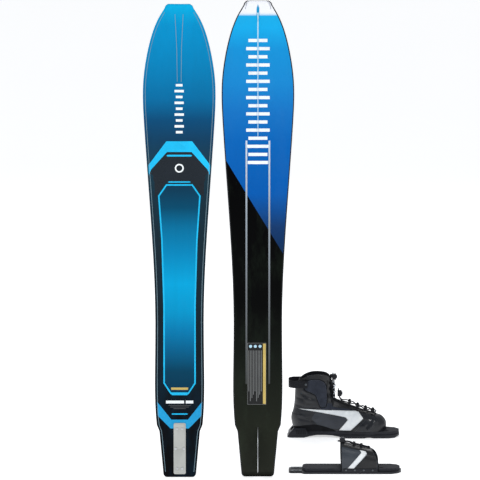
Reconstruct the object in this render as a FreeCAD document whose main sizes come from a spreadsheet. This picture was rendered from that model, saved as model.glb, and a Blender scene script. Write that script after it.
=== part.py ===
import FreeCAD, Part
import math
import os

import Sketcher

# Two wide water skis standing on their tails, a lace-up boot binding and a rear toe binding.
# Millimetres. +Z is up. The origin is on the floor under the middle of the left ski's tail.
# The left ski shows its top to -Y. The right ski is the same ski turned half round, base to -Y.

V = FreeCAD.Vector
UP = V(0, 0, 1)
SPAN = 150  # half the length of a tool that cuts right across a piece

DIMENSIONS = {
    # ski outline
    "ski_length": 1730,
    "ski_half_width": 129.8,
    "tip_half_width": 35,
    "tip_corner": 18,
    "waist_half_width": 87,
    "tail_half_width": 45,
    "tail_corner": 14,
    "shoulder_height": 192,
    # ski thickness
    "ski_thickness": 24,
    "tip_thickness": 10,
    "tip_rocker": 46,
    "tail_rocker": 9,
    "top_sheet_thickness": 1.2,
    "base_sheet_thickness": 2.6,
    "rail_groove_width": 8,
    "rail_groove_depth": 1.4,
    "rail_groove_offset": 41,
    "rail_groove_bottom": 318,
    "rail_groove_top": 1225,
    "tip_groove_width": 5,
    "ski_spacing": 281,
    # binding inserts
    "insert_radius": 5,
    "insert_bore": 3.2,
    "insert_depth": 14,
    "insert_across": 50.8,
    "insert_along": 304.8,
    "front_inserts": 830,
    "rear_inserts": 440,
    # fin
    "fin_box_length": 176,
    "fin_box_width": 38,
    "fin_box_depth": 12,
    "fin_box_middle": 106,
    "fin_slot_width": 2.6,
    "fin_thickness": 2.2,
    "fin_length": 166,
    "fin_depth": 62,
    "fin_plate_length": 188,
    "fin_plate_width": 43.4,
    "fin_plate_thickness": 2.5,
    "fin_screw_radius": 2.4,
    "fin_screw_head": 4.4,
    # boot binding
    "boot_rear": 391,
    "boot_back": 690,
    "boot_plate_length": 415,
    "boot_plate_thickness": 12,
    "boot_bed_thickness": 12,
    "boot_arch": 9,
    "plate_hole": 3.4,
    "boot_screw_radius": 2.5,
    "shell_thickness": 3,
    "liner_thickness": 6,
    "lace_diameter": 3.2,
    # toe binding
    "toe_rear": 393.5,
    "toe_back": 78,
    "toe_plate_length": 405,
    "toe_plate_thickness": 8,
    "toe_bed_thickness": 11,
    "toe_half_width": 50,
    "slot_length": 18,
    "rail_screw_head": 3.4,
    "gaiter_half_width": 47,
    "gaiter_thickness": 4,
    "gaiter_start": 190,
    "gaiter_end": 323,
    "gaiter_rear_height": 108,
    "gaiter_front_height": 76,
    # cord locks
    "lock_width": 20,
    "lock_depth": 15,
    "lock_length": 20,
    "toe_lock_depth": 13,
    "rivet_radius": 2.6,
}

doc = FreeCAD.newDocument("WaterSkis")
sheet = doc.addObject("Spreadsheet::Sheet", "dims")
for row, (alias, value) in enumerate(DIMENSIONS.items(), start=1):
    sheet.set(f"A{row}", alias)
    sheet.set(f"B{row}", str(value))
    sheet.setAlias(f"B{row}", alias)
doc.recompute()

exported = []


def size(alias):
    """A driving dimension, as the sheet holds it."""
    return float(sheet.get(alias))


def bind(item, **expressions):
    """Binds an object's sizes to expressions on the sheet."""
    for name, expression in expressions.items():
        item.setExpression(name, expression)
    return item


def place(item, x=0, y=0, z=0, axis=UP, angle=0):
    item.Placement = FreeCAD.Placement(V(x, y, z), FreeCAD.Rotation(axis, angle))
    return item


def keep(item, label, placement=None):
    """Marks an object as a finished sub-part."""
    item.Label = label
    if placement is not None:
        item.Placement = placement.multiply(item.Placement)
    exported.append(item)
    return item


# ---- primitives and booleans -------------------------------------------------------------


def box(name, x, y, z):
    """A block between the low and high of each axis."""
    item = doc.addObject("Part::Box", name)
    item.Length, item.Width, item.Height = x[1] - x[0], y[1] - y[0], z[1] - z[0]
    return place(item, x[0], y[0], z[0])


def rod(name, radius, length, start, direction):
    """A cylinder bound to the sheet, from a point along a direction."""
    item = doc.addObject("Part::Cylinder", name)
    bind(item, Radius=radius, Height=length)
    item.Placement = FreeCAD.Placement(V(*start), FreeCAD.Rotation(UP, V(*direction)))
    return item


def group(name, items):
    item = doc.addObject("Part::Compound", name)
    item.Links = items
    return item


def cut(name, base, tool):
    item = doc.addObject("Part::Cut", name)
    item.Base, item.Tool = base, tool
    return item


def common(name, base, tool):
    item = doc.addObject("Part::Common", name)
    item.Base, item.Tool = base, tool
    return item


def fuse(name, base, tool):
    item = doc.addObject("Part::Fuse", name)
    item.Base, item.Tool = base, tool
    return item


def face_feature(name, wire):
    item = doc.addObject("Part::Feature", name)
    item.Shape = Part.Face(wire)
    return item


def extrude(name, face, direction, forward, backward="0"):
    """Extrudes a flat face both ways along a direction."""
    item = doc.addObject("Part::Extrusion", name)
    item.Base = face
    item.DirMode = "Custom"
    item.Dir = V(*direction)
    item.Solid = True
    bind(item, LengthFwd=forward, LengthRev=backward)
    return item


def prism(name, points, half="150"):
    """A tool across the width (Y): a closed outline of points (x, z)."""
    wire = Part.makePolygon([V(x, 0, z) for x, z in points + points[:1]])
    return extrude(name, face_feature(name + "_face", wire), (0, 1, 0), half, half)


def spline(points, start=None, end=None):
    curve = Part.BSplineCurve()
    if start is None or end is None:
        curve.interpolate(points)
    else:
        curve.interpolate(Points=points, InitialTangent=start, FinalTangent=end)
    return curve.toShape()


# ---- sketched bodies ------------------------------------------------------------------


def new_body(name):
    return doc.addObject("PartDesign::Body", name)


def new_sketch(body, name, role, offset=0.0):
    sketch = body.newObject("Sketcher::SketchObject", name)
    plane = next(f for f in body.Origin.OriginFeatures if f.Role == role)
    sketch.AttachmentSupport = (plane, [""])
    sketch.MapMode = "FlatFace"
    sketch.AttachmentOffset = FreeCAD.Placement(V(0, 0, offset), FreeCAD.Rotation())
    return sketch


def sketch_outline(sketch, points, sizes=None):
    """A closed outline of straight lines. sizes binds a point's x or y to the sheet."""
    count = len(points)
    for number in range(count):
        a, b = points[number], points[(number + 1) % count]
        sketch.addGeometry(Part.LineSegment(V(*a, 0), V(*b, 0)), False)
    for number in range(count):
        sketch.addConstraint(Sketcher.Constraint("Coincident", number, 2, (number + 1) % count, 1))
    for number, kind, expression in sizes or []:
        value = points[number][0 if kind == "DistanceX" else 1]
        index = sketch.addConstraint(Sketcher.Constraint(kind, -1, 1, number, 1, value))
        sketch.setExpression(f"Constraints[{index}]", expression)


def sketch_circle(sketch, x, y, radius, expression=None):
    index = sketch.addGeometry(Part.Circle(V(x, y, 0), UP, radius), False)
    sketch.addConstraint(Sketcher.Constraint("DistanceX", -1, 1, index, 3, x))
    sketch.addConstraint(Sketcher.Constraint("DistanceY", -1, 1, index, 3, y))
    number = sketch.addConstraint(Sketcher.Constraint("Radius", index, radius))
    if expression:
        sketch.setExpression(f"Constraints[{number}]", expression)


def pad(body, sketch, length, midplane=False):
    feature = body.newObject("PartDesign::Pad", sketch.Name + "_pad")
    feature.Profile = sketch
    feature.Midplane = midplane
    feature.setExpression("Length", length)
    return feature


def pocket(body, sketch):
    feature = body.newObject("PartDesign::Pocket", sketch.Name + "_pocket")
    feature.Profile = sketch
    feature.Type = "ThroughAll"
    feature.Midplane = True
    return feature


# ---- cords -------------------------------------------------------------------------


def cord_path(points):
    """Straight runs joined by tangent arcs."""
    points = [V(*p) for p in points]
    edges, start = [], points[0]
    radii = []
    for before, corner, after in zip(points, points[1:], points[2:]):
        back, ahead = before - corner, after - corner
        shorter = min(back.Length, ahead.Length)
        half_turn = (math.pi - back.getAngle(ahead)) / 2
        reach = 0.45 * shorter
        radius = reach / math.tan(half_turn)
        radii.append(radius)
        enter = corner + back.normalize() * reach
        leave = corner + ahead.normalize() * reach
        centre = corner + (back + ahead).normalize() * (radius / math.cos(half_turn))
        middle = centre + (corner - centre).normalize() * radius
        edges.append(Part.LineSegment(start, enter).toShape())
        edges.append(Part.Arc(enter, middle, leave).toShape())
        start = leave
    edges.append(Part.LineSegment(start, points[-1]).toShape())
    print("cord bend radii:", [round(r, 1) for r in radii])
    return Part.Wire(edges)


def cord(name, points, diameter):
    path = cord_path(points)
    first = V(*points[1]) - V(*points[0])
    ring = Part.Wire(Part.Circle(V(*points[0]), first, diameter / 2).toShape())
    solid = path.makePipeShell([ring], True, False)
    expected = path.Length * math.pi * diameter**2 / 4
    print(name, "volume over section times length:", round(solid.Volume / expected, 3))
    item = doc.addObject("Part::Feature", name)
    item.Shape = solid
    return item


# ---- the skis --------------------------------------------------------------------------


def ski_outline():
    """The ski seen from above: X is the width and Z the length, with the tail at zero."""
    length, corner = size("ski_length"), size("tip_corner")
    widest, waist = size("ski_half_width"), size("waist_half_width")
    tip, tail, round_tail = size("tip_half_width"), size("tail_half_width"), size("tail_corner")
    shoulder = size("shoulder_height")
    stations = [
        (length - corner, tip + corner - 1.5),
        (length - 69, widest * 0.622),
        (length - 141, widest * 0.807),
        (length - 214, widest * 0.923),
        (length - 287, widest * 0.989),
        (length - 341, widest),
        (length - 432, widest * 0.972),
        (length - 577, widest * 0.899),
        (length - 795, widest * 0.784),
        (length - 1013, waist * 1.035),
        (length - 1158, waist),
        (length - 1340, waist * 1.018),
        (length - 1470, waist * 1.005),
        (shoulder, waist * 0.95),
    ]

    def side(sign):
        at = lambda x, z: V(sign * x, 0, z)
        bend = at(tip + corner * 0.62, length - corner * 0.3)
        tip_arc = Part.Arc(at(tip, length), bend, at(stations[0][1], stations[0][0])).toShape()
        flank = spline([at(x, z) for z, x in stations])
        step = Part.LineSegment(at(stations[-1][1], shoulder), at(waist * 0.84, shoulder - 23)).toShape()
        taper = Part.LineSegment(at(waist * 0.84, shoulder - 23), at(tail + round_tail, round_tail)).toShape()
        tail_arc = Part.Arc(
            at(tail + round_tail, round_tail),
            at(tail + round_tail * 0.7, round_tail * 0.3),
            at(tail, 0),
        ).toShape()
        return [tip_arc, flank, step, taper, tail_arc]

    top = Part.LineSegment(V(-tip, 0, length), V(tip, 0, length)).toShape()
    bottom = Part.LineSegment(V(-tail, 0, 0), V(tail, 0, 0)).toShape()
    edges = [top] + side(1) + [bottom] + side(-1)
    return Part.Wire(Part.__sortEdges__(edges))


def base_line(offset):
    """The base seen from the side, moved by offset towards the base side."""
    end, flat_low, flat_high = size("ski_length") + 10, 260, 980
    rocker, tail = size("tip_rocker"), size("tail_rocker")
    at = lambda y, z: V(0, y + offset, z)
    low = spline([at(-tail, -5), at(-tail * 0.36, 125), at(0, flat_low)])
    flat = Part.LineSegment(at(0, flat_low), at(0, flat_high)).toShape()
    high = spline(
        [at(0, flat_high), at(-rocker * 0.09, 1200), at(-rocker * 0.37, 1450), at(-rocker, end)],
        V(0, 0, 1),
        V(0, -0.16, 1),
    )
    return [low, flat, high]


def top_line(offset):
    """The top seen from the side, moved by offset towards the base side."""
    end, flat_high = size("ski_length") + 10, 1000
    thick, tip = size("ski_thickness"), size("tip_rocker") + size("tip_thickness")
    at = lambda y, z: V(0, y + offset, z)
    flat = Part.LineSegment(at(-thick, -5), at(-thick, flat_high)).toShape()
    high = spline(
        [at(-thick, flat_high), at(-thick - 2.2, 1240), at(-thick - 12, 1480), at(-tip, end)],
        V(0, 0, 1),
        V(0, -0.14, 1),
    )
    return [flat, high]


def side_layer(name, near, far):
    """A layer of the ski between two of its long lines, wide enough to be trimmed."""
    ends = []
    for end in (0, -1):
        a = near[end].Vertexes[end].Point
        b = far[end].Vertexes[end].Point
        ends.append(Part.LineSegment(a, b).toShape())
    wire = Part.Wire(Part.__sortEdges__(near + far + ends))
    return extrude(name, face_feature(name + "_face", wire), (1, 0, 0), str(SPAN), str(SPAN))


def insert_places():
    """The middles of the binding inserts on the top, as (x, z)."""
    across, along = size("insert_across") / 2, size("insert_along") / 2
    middles = [size("front_inserts"), size("rear_inserts")]
    return [(x, m + z) for m in middles for z in (-along, along) for x in (-across, across)]


def fin_screw_places():
    middle = size("fin_box_middle")
    return [(x * s, middle + z) for z, x in ((73, 8.9), (0, 14.6), (-73, 8.9)) for s in (-1, 1)]


def groove(name, outline_points):
    """A shallow channel in the base that follows its curve."""
    wire = Part.makePolygon([V(x, 0, z) for x, z in outline_points + outline_points[:1]])
    plan = extrude(name + "_plan", face_feature(name + "_face", wire), (0, 1, 0), "80", "80")
    depth = size("rail_groove_depth")
    return common(name, plan, side_layer(name + "_layer", base_line(-depth), base_line(3)))


def base_grooves(side):
    half, offset = size("rail_groove_width") / 2, size("rail_groove_offset")
    low, high = size("rail_groove_bottom"), size("rail_groove_top")
    tools = []
    for hand, middle in (("a", -offset), ("b", offset)):
        points = [
            (middle - half, low + 30),
            (middle, low),
            (middle + half, low + 30),
            (middle + half, high - 30),
            (middle, high),
            (middle - half, high - 30),
        ]
        tools.append(groove(f"{side}_rail_{hand}", points))
    half, length = size("tip_groove_width") / 2, size("ski_length")
    points = [(0, length - 492), (half, length - 455), (half, length - 40), (0, length - 14)]
    points += [(-half, length - 40), (-half, length - 455)]
    tools.append(groove(f"{side}_tip_groove", points))
    return tools


def fin_blade(side):
    """A flat fin with a tang in the box, a raked leading edge and a row of lightening holes."""
    body = new_body(f"{side}_fin_body")
    sketch = new_sketch(body, f"{side}_fin_sketch", "YZ_Plane")
    length, depth, middle = size("fin_length"), size("fin_depth"), size("fin_box_middle")
    low, high = middle - length / 2, middle + length / 2
    tang = -size("ski_thickness") + 2.6
    outline = [
        (tang, low + 4),
        (tang, high - 6),
        (-2, high - 4),
        (depth * 0.35, high - 22),
        (depth * 0.75, high - 58),
        (depth * 0.96, high - 98),
        (depth, high - 124),
        (depth * 0.93, low + 16),
        (depth * 0.6, low + 3),
        (0, low),
    ]
    sketch_outline(sketch, outline, [(6, "DistanceX", "dims.fin_depth")])
    pad(body, sketch, "dims.fin_thickness", True)
    holes = new_sketch(body, f"{side}_fin_holes", "YZ_Plane")
    for number in range(5):
        sketch_circle(holes, 34 - number * 1.5, low + 34 + number * 19, 3.5)
    pocket(body, holes)
    return body


def fin_plate(side):
    """The cover plate over the fin box, with six screw holes."""
    body = new_body(f"{side}_fin_plate_body")
    sketch = new_sketch(body, f"{side}_fin_plate_sketch", "XZ_Plane", size("ski_thickness"))
    half, length = size("fin_plate_width") / 2, size("fin_plate_length") / 2
    middle, chamfer = size("fin_box_middle"), 4
    outline = [
        (-half + chamfer, middle - length),
        (half - chamfer, middle - length),
        (half, middle - length + chamfer),
        (half, middle + length - chamfer),
        (half - chamfer, middle + length),
        (-half + chamfer, middle + length),
        (-half, middle + length - chamfer),
        (-half, middle - length + chamfer),
    ]
    sketch_outline(sketch, outline, [(2, "DistanceX", "dims.fin_plate_width / 2")])
    pad(body, sketch, "dims.fin_plate_thickness")
    holes = new_sketch(body, f"{side}_fin_plate_holes", "XZ_Plane")
    for x, z in fin_screw_places():
        sketch_circle(holes, x, z, size("fin_screw_radius"), "dims.fin_screw_radius")
    pocket(body, holes)
    return body


def make_ski(side, placement):
    thick = size("ski_thickness")
    top_skin, base_skin = size("top_sheet_thickness"), size("base_sheet_thickness")
    plan = extrude(f"{side}_plan", face_feature(f"{side}_outline", ski_outline()), (0, 1, 0), "90", "90")
    box_half = size("fin_box_length") / 2
    middle, depth = size("fin_box_middle"), size("fin_box_depth")

    along = (middle - box_half, middle + box_half)

    def rods(name, radius, length, y, places, direction=1):
        """Like cylinders that go into the ski (or out of it, along -1) at several places."""
        return [
            rod(f"{side}_{name}_{i}", radius, length, (x, y, z), (0, direction, 0))
            for i, (x, z) in enumerate(places)
        ]

    def openings(name):
        """Tools for the fin box, the fin's slot and the insert sockets."""
        side_play = size("fin_box_width") / 2
        block = box(f"{side}_{name}_pocket", (-side_play, side_play), (-thick - 5, -thick + depth), along)
        slot = box(f"{side}_{name}_slot", (-2.2, 2.2), (-thick + depth - 0.001, 10), along)
        deep = "dims.insert_depth + 5"
        sockets = rods(name + "_socket", "dims.insert_radius", deep, -thick - 5, insert_places())
        fin_room = fuse(f"{side}_{name}_fin", block, slot)
        return fuse(f"{side}_{name}", fin_room, group(f"{side}_{name}_sockets", sockets))

    def layer(name, near, far):
        """The slice of the ski between two depth lines."""
        return common(f"{side}_{name}_blank", plan, side_layer(f"{side}_{name}_layer", near, far))

    core = layer("core", base_line(-base_skin), top_line(top_skin))
    keep(cut(f"{side}_core", core, openings("core_openings")), f"{side}_ski_core", placement)
    top = layer("top", top_line(top_skin), top_line(0))
    keep(cut(f"{side}_top", top, openings("top_openings")), f"{side}_ski_top_sheet", placement)
    base = layer("base", base_line(0), base_line(-base_skin))
    slot = box(f"{side}_base_slot", (-2.2, 2.2), (-20, 10), along)
    tools = group(f"{side}_base_tools", base_grooves(side) + [slot])
    keep(cut(f"{side}_base", base, tools), f"{side}_ski_base_sheet", placement)

    sleeves = rods("sleeve", "dims.insert_radius", "dims.insert_depth", -thick, insert_places())
    bores = rods("bore", "dims.insert_bore", "dims.insert_depth - 1.5", -thick, insert_places())
    inserts = cut(f"{side}_inserts", group(f"{side}_sleeves", sleeves), group(f"{side}_bores", bores))
    keep(inserts, f"{side}_ski_binding_inserts", placement)

    half = size("fin_box_width") / 2
    block = box(f"{side}_fin_block", (-half, half), (-thick, -thick + depth), along)
    gap = size("fin_slot_width") / 2
    slot = box(f"{side}_fin_gap", (-gap, gap), (-thick + 1.5, 10), (along[0] - 1, along[1] + 1))
    places = fin_screw_places()
    threads = rods("thread", "dims.fin_screw_radius", "dims.fin_box_depth + 2", -thick - 1, places)
    cutters = group(f"{side}_fin_cutters", [slot] + threads)
    keep(cut(f"{side}_fin_box", block, cutters), f"{side}_ski_fin_box", placement)

    keep(fin_plate(side), f"{side}_ski_fin_plate", placement)
    keep(fin_blade(side), f"{side}_ski_fin", placement)

    outside = -thick - size("fin_plate_thickness")
    shanks = rods("shank", "dims.fin_screw_radius", "dims.fin_plate_thickness + 9", outside, places)
    heads = rods("head", "dims.fin_screw_head", "2.2", outside, places, -1)
    screws = fuse(f"{side}_screws", group(f"{side}_shanks", shanks), group(f"{side}_heads", heads))
    keep(screws, f"{side}_ski_fin_screws", placement)


# ---- the boot binding ----------------------------------------------------------------

BOOT_SCREWS = ((40, 14), (40, -14), (240, 33), (240, -33))
THROAT = [(145, 152), (145, 260), (178, 260), (336, 96), (324, 56), (250, 88), (200, 108)]
UPPER_ROWS = (156, 178, 200)  # heights of the loops up the front of the cuff
LOWER_ROWS = ((226, 120.6), (256, 107), (285, 96.4), (312, 88.6))  # along the vamp
VAMP_LEAN = -66  # turns a loop from the upright cuff onto the sloping vamp
LACE_OUT = 22  # the loops stand this far either side of the middle
UPPER_LOCK = (168, 222)  # the lock at the top of the upper lace, as (x, z)
LOWER_LOCK = (188, 160)  # the lock that stands on the vamp
LACE_END = 17  # the laces' ends stand this far past the middle of their lock
LOOP_PIVOT = (68, 200.5)  # the rivets on which the pull loop swings

# overlays on the boot's side, as outlines of (x, z)
STRIPE = [(42, 108), (120, 104), (259, 98), (277, 73), (233, 29), (191, 29), (223, 68), (214, 77)]
STRIPE.append((120, 95))
ANKLE_PANEL = [(62, 178), (62, 200), (70, 212), (88, 219), (116, 219), (134, 211), (143, 197)]
ANKLE_PANEL += [(146, 174), (147, 137), (142, 113), (122, 111), (116, 123), (108, 146), (103, 158)]
FOREFOOT = [(268, 95), (288, 90), (320, 79), (331, 69), (304, 24), (246, 24), (284, 68)]
HEEL = [(5, 24), (86, 24), (86, 66), (60, 86), (5, 90)]
TOE_CAP = [(334, 24), (337, 90), (380, 90), (380, 24)]
EYESTAY = [(150, 150), (150, 208), (200, 208), (230, 130), (331, 86), (322, 60), (250, 90), (190, 112)]


def moved_in(wire, inset):
    """A flat wire moved in by a distance (out if it is below zero), as plain splines."""
    if inset == 0:
        return wire
    edges = []
    for edge in wire.makeOffset2D(-inset).Edges:
        curve = edge.Curve.toBSpline(edge.FirstParameter, edge.LastParameter)
        edges.append(curve.toShape())
    return Part.Wire(Part.__sortEdges__(edges))


def boot_side(inset):
    """The boot seen from the side as a closed wire, moved in by inset (out if it is below zero)."""
    at = lambda x, z: V(x, 0, z)
    back = spline([at(25, 24), at(16, 62), at(17, 82), at(23, 106), at(27, 135), at(29, 176), at(43, 213)])
    collar = spline([at(43, 213), at(70, 228.5), at(98, 235.5), at(132, 234.5), at(151, 229), at(161, 216)])
    front = Part.LineSegment(at(161, 216), at(164, 148)).toShape()
    vamp = spline([at(164, 148), at(180, 134), at(218, 124), at(257, 106.5), at(283, 97), at(328, 84)])
    toe = spline([at(328, 84), at(351, 71.5), at(365, 49), at(363, 24)])
    sole = Part.LineSegment(at(363, 24), at(25, 24)).toShape()
    return moved_in(Part.Wire([back, collar, front, vamp, toe, sole]), inset)


def boot_plan(inset):
    """The boot seen from above as a closed wire, on the footbed."""
    outline = [(15, 0), (22, 21), (44, 35), (100, 37), (165, 38), (230, 46), (285, 52), (325, 47), (352, 30)]
    outline.append((367, 0))
    across = V(0, 1, 0)
    halves = [
        spline([V(x, hand * y, 0) for x, y in outline], across * hand, across * -hand) for hand in (-1, 1)
    ]
    return moved_in(Part.Wire(Part.__sortEdges__(halves)), inset)


def boot_solid(name, inset):
    """The boot's closed form at a depth below its outer skin."""
    side_face = face_feature(name + "_side_face", boot_side(inset))
    plan_face = face_feature(name + "_plan_face", boot_plan(inset))
    side = extrude(name + "_side", side_face, (0, 1, 0), "70", "70")
    plan = extrude(name + "_plan", plan_face, (0, 0, 1), "300", "20")
    return common(name, side, plan)


def leg_opening(name, inset):
    """The tool that opens the collar to the leg."""
    plan = extrude(name + "_plan", face_feature(name + "_face", boot_plan(inset)), (0, 0, 1), "300", "0")
    return common(name, plan, box(name + "_box", (20, 162 - inset), (-70, 70), (160, 260)))


def boot_skin(name, thickness, points):
    """A skin on the boot's outside, inside an outline of points (x, z)."""
    outer = boot_solid(name + "_outer", -thickness)
    skin = cut(name + "_shell", outer, boot_solid(name + "_inner", 0))
    return common(name, skin, prism(name + "_area", points))


def throat(name, half):
    return prism(name, THROAT, str(half))


def chassis():
    """The moulded plate under the boot: arched under the instep and waisted in plan."""
    length = size("boot_plate_length")
    thick, arch = size("boot_plate_thickness"), size("boot_arch")
    side = [(0, 0), (60, 0), (84, arch * 0.6), (110, arch), (165, arch), (190, arch * 0.6), (208, 0)]
    side += [(284, 0), (292, 2), (306, 2), (316, 0), (length - 22, 0), (length, thick * 0.6)]
    side += [(length, thick), (6, thick)]
    body = new_body("boot_plate_body")
    sketch = new_sketch(body, "boot_plate_sketch", "XZ_Plane")
    sizes = [(12, "DistanceX", "dims.boot_plate_length"), (13, "DistanceY", "dims.boot_plate_thickness")]
    sketch_outline(sketch, side, sizes)
    pad(body, sketch, "120", True)
    plan = [(0, 30), (14, 39), (62, 40), (100, 33), (140, 33), (195, 48), (225, 53), (285, 53), (300, 50)]
    plan += [(320, 52), (372, 51), (398, 40), (length - 3, 18)]
    right = [(x, -y) for x, y in reversed(plan)]
    wire = Part.makePolygon([V(x, y, 0) for x, y in plan + right + plan[:1]])
    blank = extrude("boot_plate_plan", face_feature("boot_plate_plan_face", wire), (0, 0, 1), "60", "10")
    whole = common("boot_plate_blank", body, blank)
    holes = [
        rod(f"boot_plate_hole_{i}", "dims.plate_hole", "60", (x, y, -10), (0, 0, 1))
        for i, (x, y) in enumerate(plate_holes())
    ]
    holes += [
        rod(f"boot_screw_hole_{i}", "dims.boot_screw_radius", "60", (x, y, -10), (0, 0, 1))
        for i, (x, y) in enumerate(BOOT_SCREWS)
    ]
    return cut("boot_plate_solid", whole, group("boot_plate_holes", holes))


def plate_holes():
    """Where the boot plate's screws stand, so that they meet a ski's inserts."""
    across, along = size("insert_across") / 2, size("insert_along")
    rear = 62
    return [(x, y) for x in (rear, rear + along) for y in (-across, across)]


def boot_footbed():
    low = size("boot_plate_thickness")
    plan = [(22, 22), (40, 32), (100, 30), (140, 31), (195, 45), (225, 50), (285, 50)]
    plan += [(322, 49), (370, 47), (396, 36), (411, 14)]
    right = [(x, -y) for x, y in reversed(plan)]
    body = new_body("boot_footbed_body")
    sketch = new_sketch(body, "boot_footbed_sketch", "XY_Plane", low)
    sketch_outline(sketch, plan + right)
    pad(body, sketch, "dims.boot_bed_thickness")
    holes = new_sketch(body, "boot_footbed_holes", "XY_Plane")
    for x, y in plate_holes():
        sketch_circle(holes, x, y, 6.2)
    for x, y in BOOT_SCREWS:
        sketch_circle(holes, x, y, size("boot_screw_radius"), "dims.boot_screw_radius")
    pocket(body, holes)
    return body


def heel_cage():
    """A low moulded cup round the heel, with a raked back."""
    low = size("boot_plate_thickness")
    blank = prism("heel_cage_side", [(4, low), (24, 36), (66, 36), (78, low)], "43")
    face = face_feature("heel_cage_hollow_face", boot_plan(-2.8))
    hollow = extrude("heel_cage_hollow", face, (0, 0, 1), "80")
    return cut("heel_cage_solid", blank, hollow)


def lace_loop(name, x, y, z, lean):
    """A webbing loop with a round eye, lying on a surface that leans by an angle about Y."""
    block = box(name + "_block", (0, 10.4), (-4.8, 4.8), (-4.2, 4.2))
    eye = rod(name + "_eye", "dims.lace_diameter / 2 + 1.3", "20", (5, 0, -10), (0, 0, 1))
    loop = cut(name, block, eye)
    return place(loop, x, y, z, V(0, 1, 0), lean)


def cuff_front(z):
    """How far forward the eyestays stand at a height on the cuff."""
    return 163.2 + (216 - z) * 0.044


def lace_loops():
    loops = []
    for hand in (-1, 1):
        for number, z in enumerate(UPPER_ROWS):
            loops.append(lace_loop(f"cuff_loop_{hand + 1}_{number}", cuff_front(z), hand * LACE_OUT, z, 0))
        for number, (x, z) in enumerate(LOWER_ROWS):
            name = f"vamp_loop_{hand + 1}_{number}"
            loops.append(lace_loop(name, x + 1.2, hand * LACE_OUT, z + 2.4, VAMP_LEAN))
    return group("lace_loop_group", loops)


LOCK_WELL = 7.2  # how deep the button's well goes into a lock's case


def cord_lock(name, centre, turn, deep):
    """A cord lock: a case with two lace holes along its Z and a sprung button along its X."""
    half, tall = size("lock_width") / 2, size("lock_length") / 2
    case = box(name + "_case", (0, deep), (-half, half), (-tall, tall))
    inside = (-half + 3, half - 3)
    well = box(name + "_well", (deep - LOCK_WELL, deep + 1), inside, (-tall + 4, tall - 4))
    eyes = [
        rod(f"{name}_eye_{i}", "dims.lace_diameter / 2 + 0.9", "60", (3.2, y, -30), (0, 0, 1))
        for i, y in enumerate((-4, 4))
    ]
    shell = cut(name + "_shell", case, fuse(name + "_cuts", well, group(name + "_eyes", eyes)))
    reach = (deep - LOCK_WELL + 3.4, deep + 3.6)
    button = box(name + "_button", reach, (-half + 3.4, half - 3.4), (-tall + 4.4, tall - 4.4))
    spot = FreeCAD.Placement(V(*centre), turn)
    return shell, button, spot


def make_boot():
    here = FreeCAD.Placement(V(size("boot_rear"), size("boot_back"), 0), FreeCAD.Rotation())
    skin, padding = size("shell_thickness"), size("liner_thickness")
    inner = skin + padding
    keep(chassis(), "boot_plate", here)
    keep(boot_footbed(), "boot_footbed", here)
    keep(heel_cage(), "boot_heel_cage", here)

    shell = cut("shell_hollow", boot_solid("shell_form", 0), boot_solid("shell_inside", skin))
    shell = cut("shell_collar", shell, leg_opening("shell_leg", skin))
    keep(cut("shell_open", shell, throat("shell_throat", 16)), "boot_shell", here)

    liner = cut("liner_hollow", boot_solid("liner_form", skin), boot_solid("liner_inside", inner))
    liner = cut("liner_collar", liner, leg_opening("liner_leg", inner))
    keep(cut("liner_open", liner, throat("liner_throat", 16)), "boot_liner", here)

    tongue = cut("tongue_hollow", boot_solid("tongue_form", 1), boot_solid("tongue_inside", inner - 1))
    tongue = common("tongue_strip", tongue, throat("tongue_throat", 15.6))
    pad_side = [(156, 196), (166, 197), (170.5, 190), (171, 165), (169, 152), (163, 149), (156, 160)]
    pad_floor = boot_solid("tongue_pad_inside", inner - 1)
    ridge = cut("tongue_ridge", prism("tongue_pad", pad_side, "13"), pad_floor)
    keep(fuse("tongue_whole", tongue, ridge), "boot_tongue", here)

    overlays = (
        ("boot_side_stripes", 1.2, STRIPE),
        ("boot_ankle_panels", 1.2, ANKLE_PANEL),
        ("boot_forefoot_overlays", 2.2, FOREFOOT),
        ("boot_heel_counter", 2.2, HEEL),
        ("boot_toe_cap", 1.5, TOE_CAP),
    )
    for label, thick, outline in overlays:
        keep(boot_skin(label + "_skin", thick, outline), label, here)
    bands = [box(f"stay_band_{y}", (140, 340), (y, y + 11), (50, 240)) for y in (-28, 17)]
    stays = boot_skin("boot_stay_skin", 2, EYESTAY)
    keep(common("boot_stay_strips", stays, fuse("stay_bands", *bands)), "boot_eyestays", here)

    keep(lace_loops(), "boot_lace_loops", here)
    thick = size("lace_diameter")
    keep(cord("boot_lower_lace_cord", lower_lace(), thick), "boot_lower_lace", here)
    keep(cord("boot_upper_lace_cord", upper_lace(), thick), "boot_upper_lace", here)
    for which, (x, z) in (("upper", UPPER_LOCK), ("lower", LOWER_LOCK)):
        centre = (x - 3.2, 0, z)
        shell, button, spot = cord_lock(f"boot_{which}_lock", centre, FreeCAD.Rotation(), size("lock_depth"))
        keep(shell, f"boot_{which}_cord_lock", here.multiply(spot))
        keep(button, f"boot_{which}_lock_button", here.multiply(spot))

    keep(pull_loop(), "boot_pull_loop", here)
    keep(loop_rivets(), "boot_loop_rivets", here)
    tall = "dims.boot_plate_thickness + dims.boot_bed_thickness - 1"
    screws = [
        rod(f"boot_screw_{i}", "dims.boot_screw_radius", tall, (x, y, 0.5), (0, 0, 1))
        for i, (x, y) in enumerate(BOOT_SCREWS)
    ]
    keep(group("boot_screws", screws), "boot_plate_screws", here)


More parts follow.
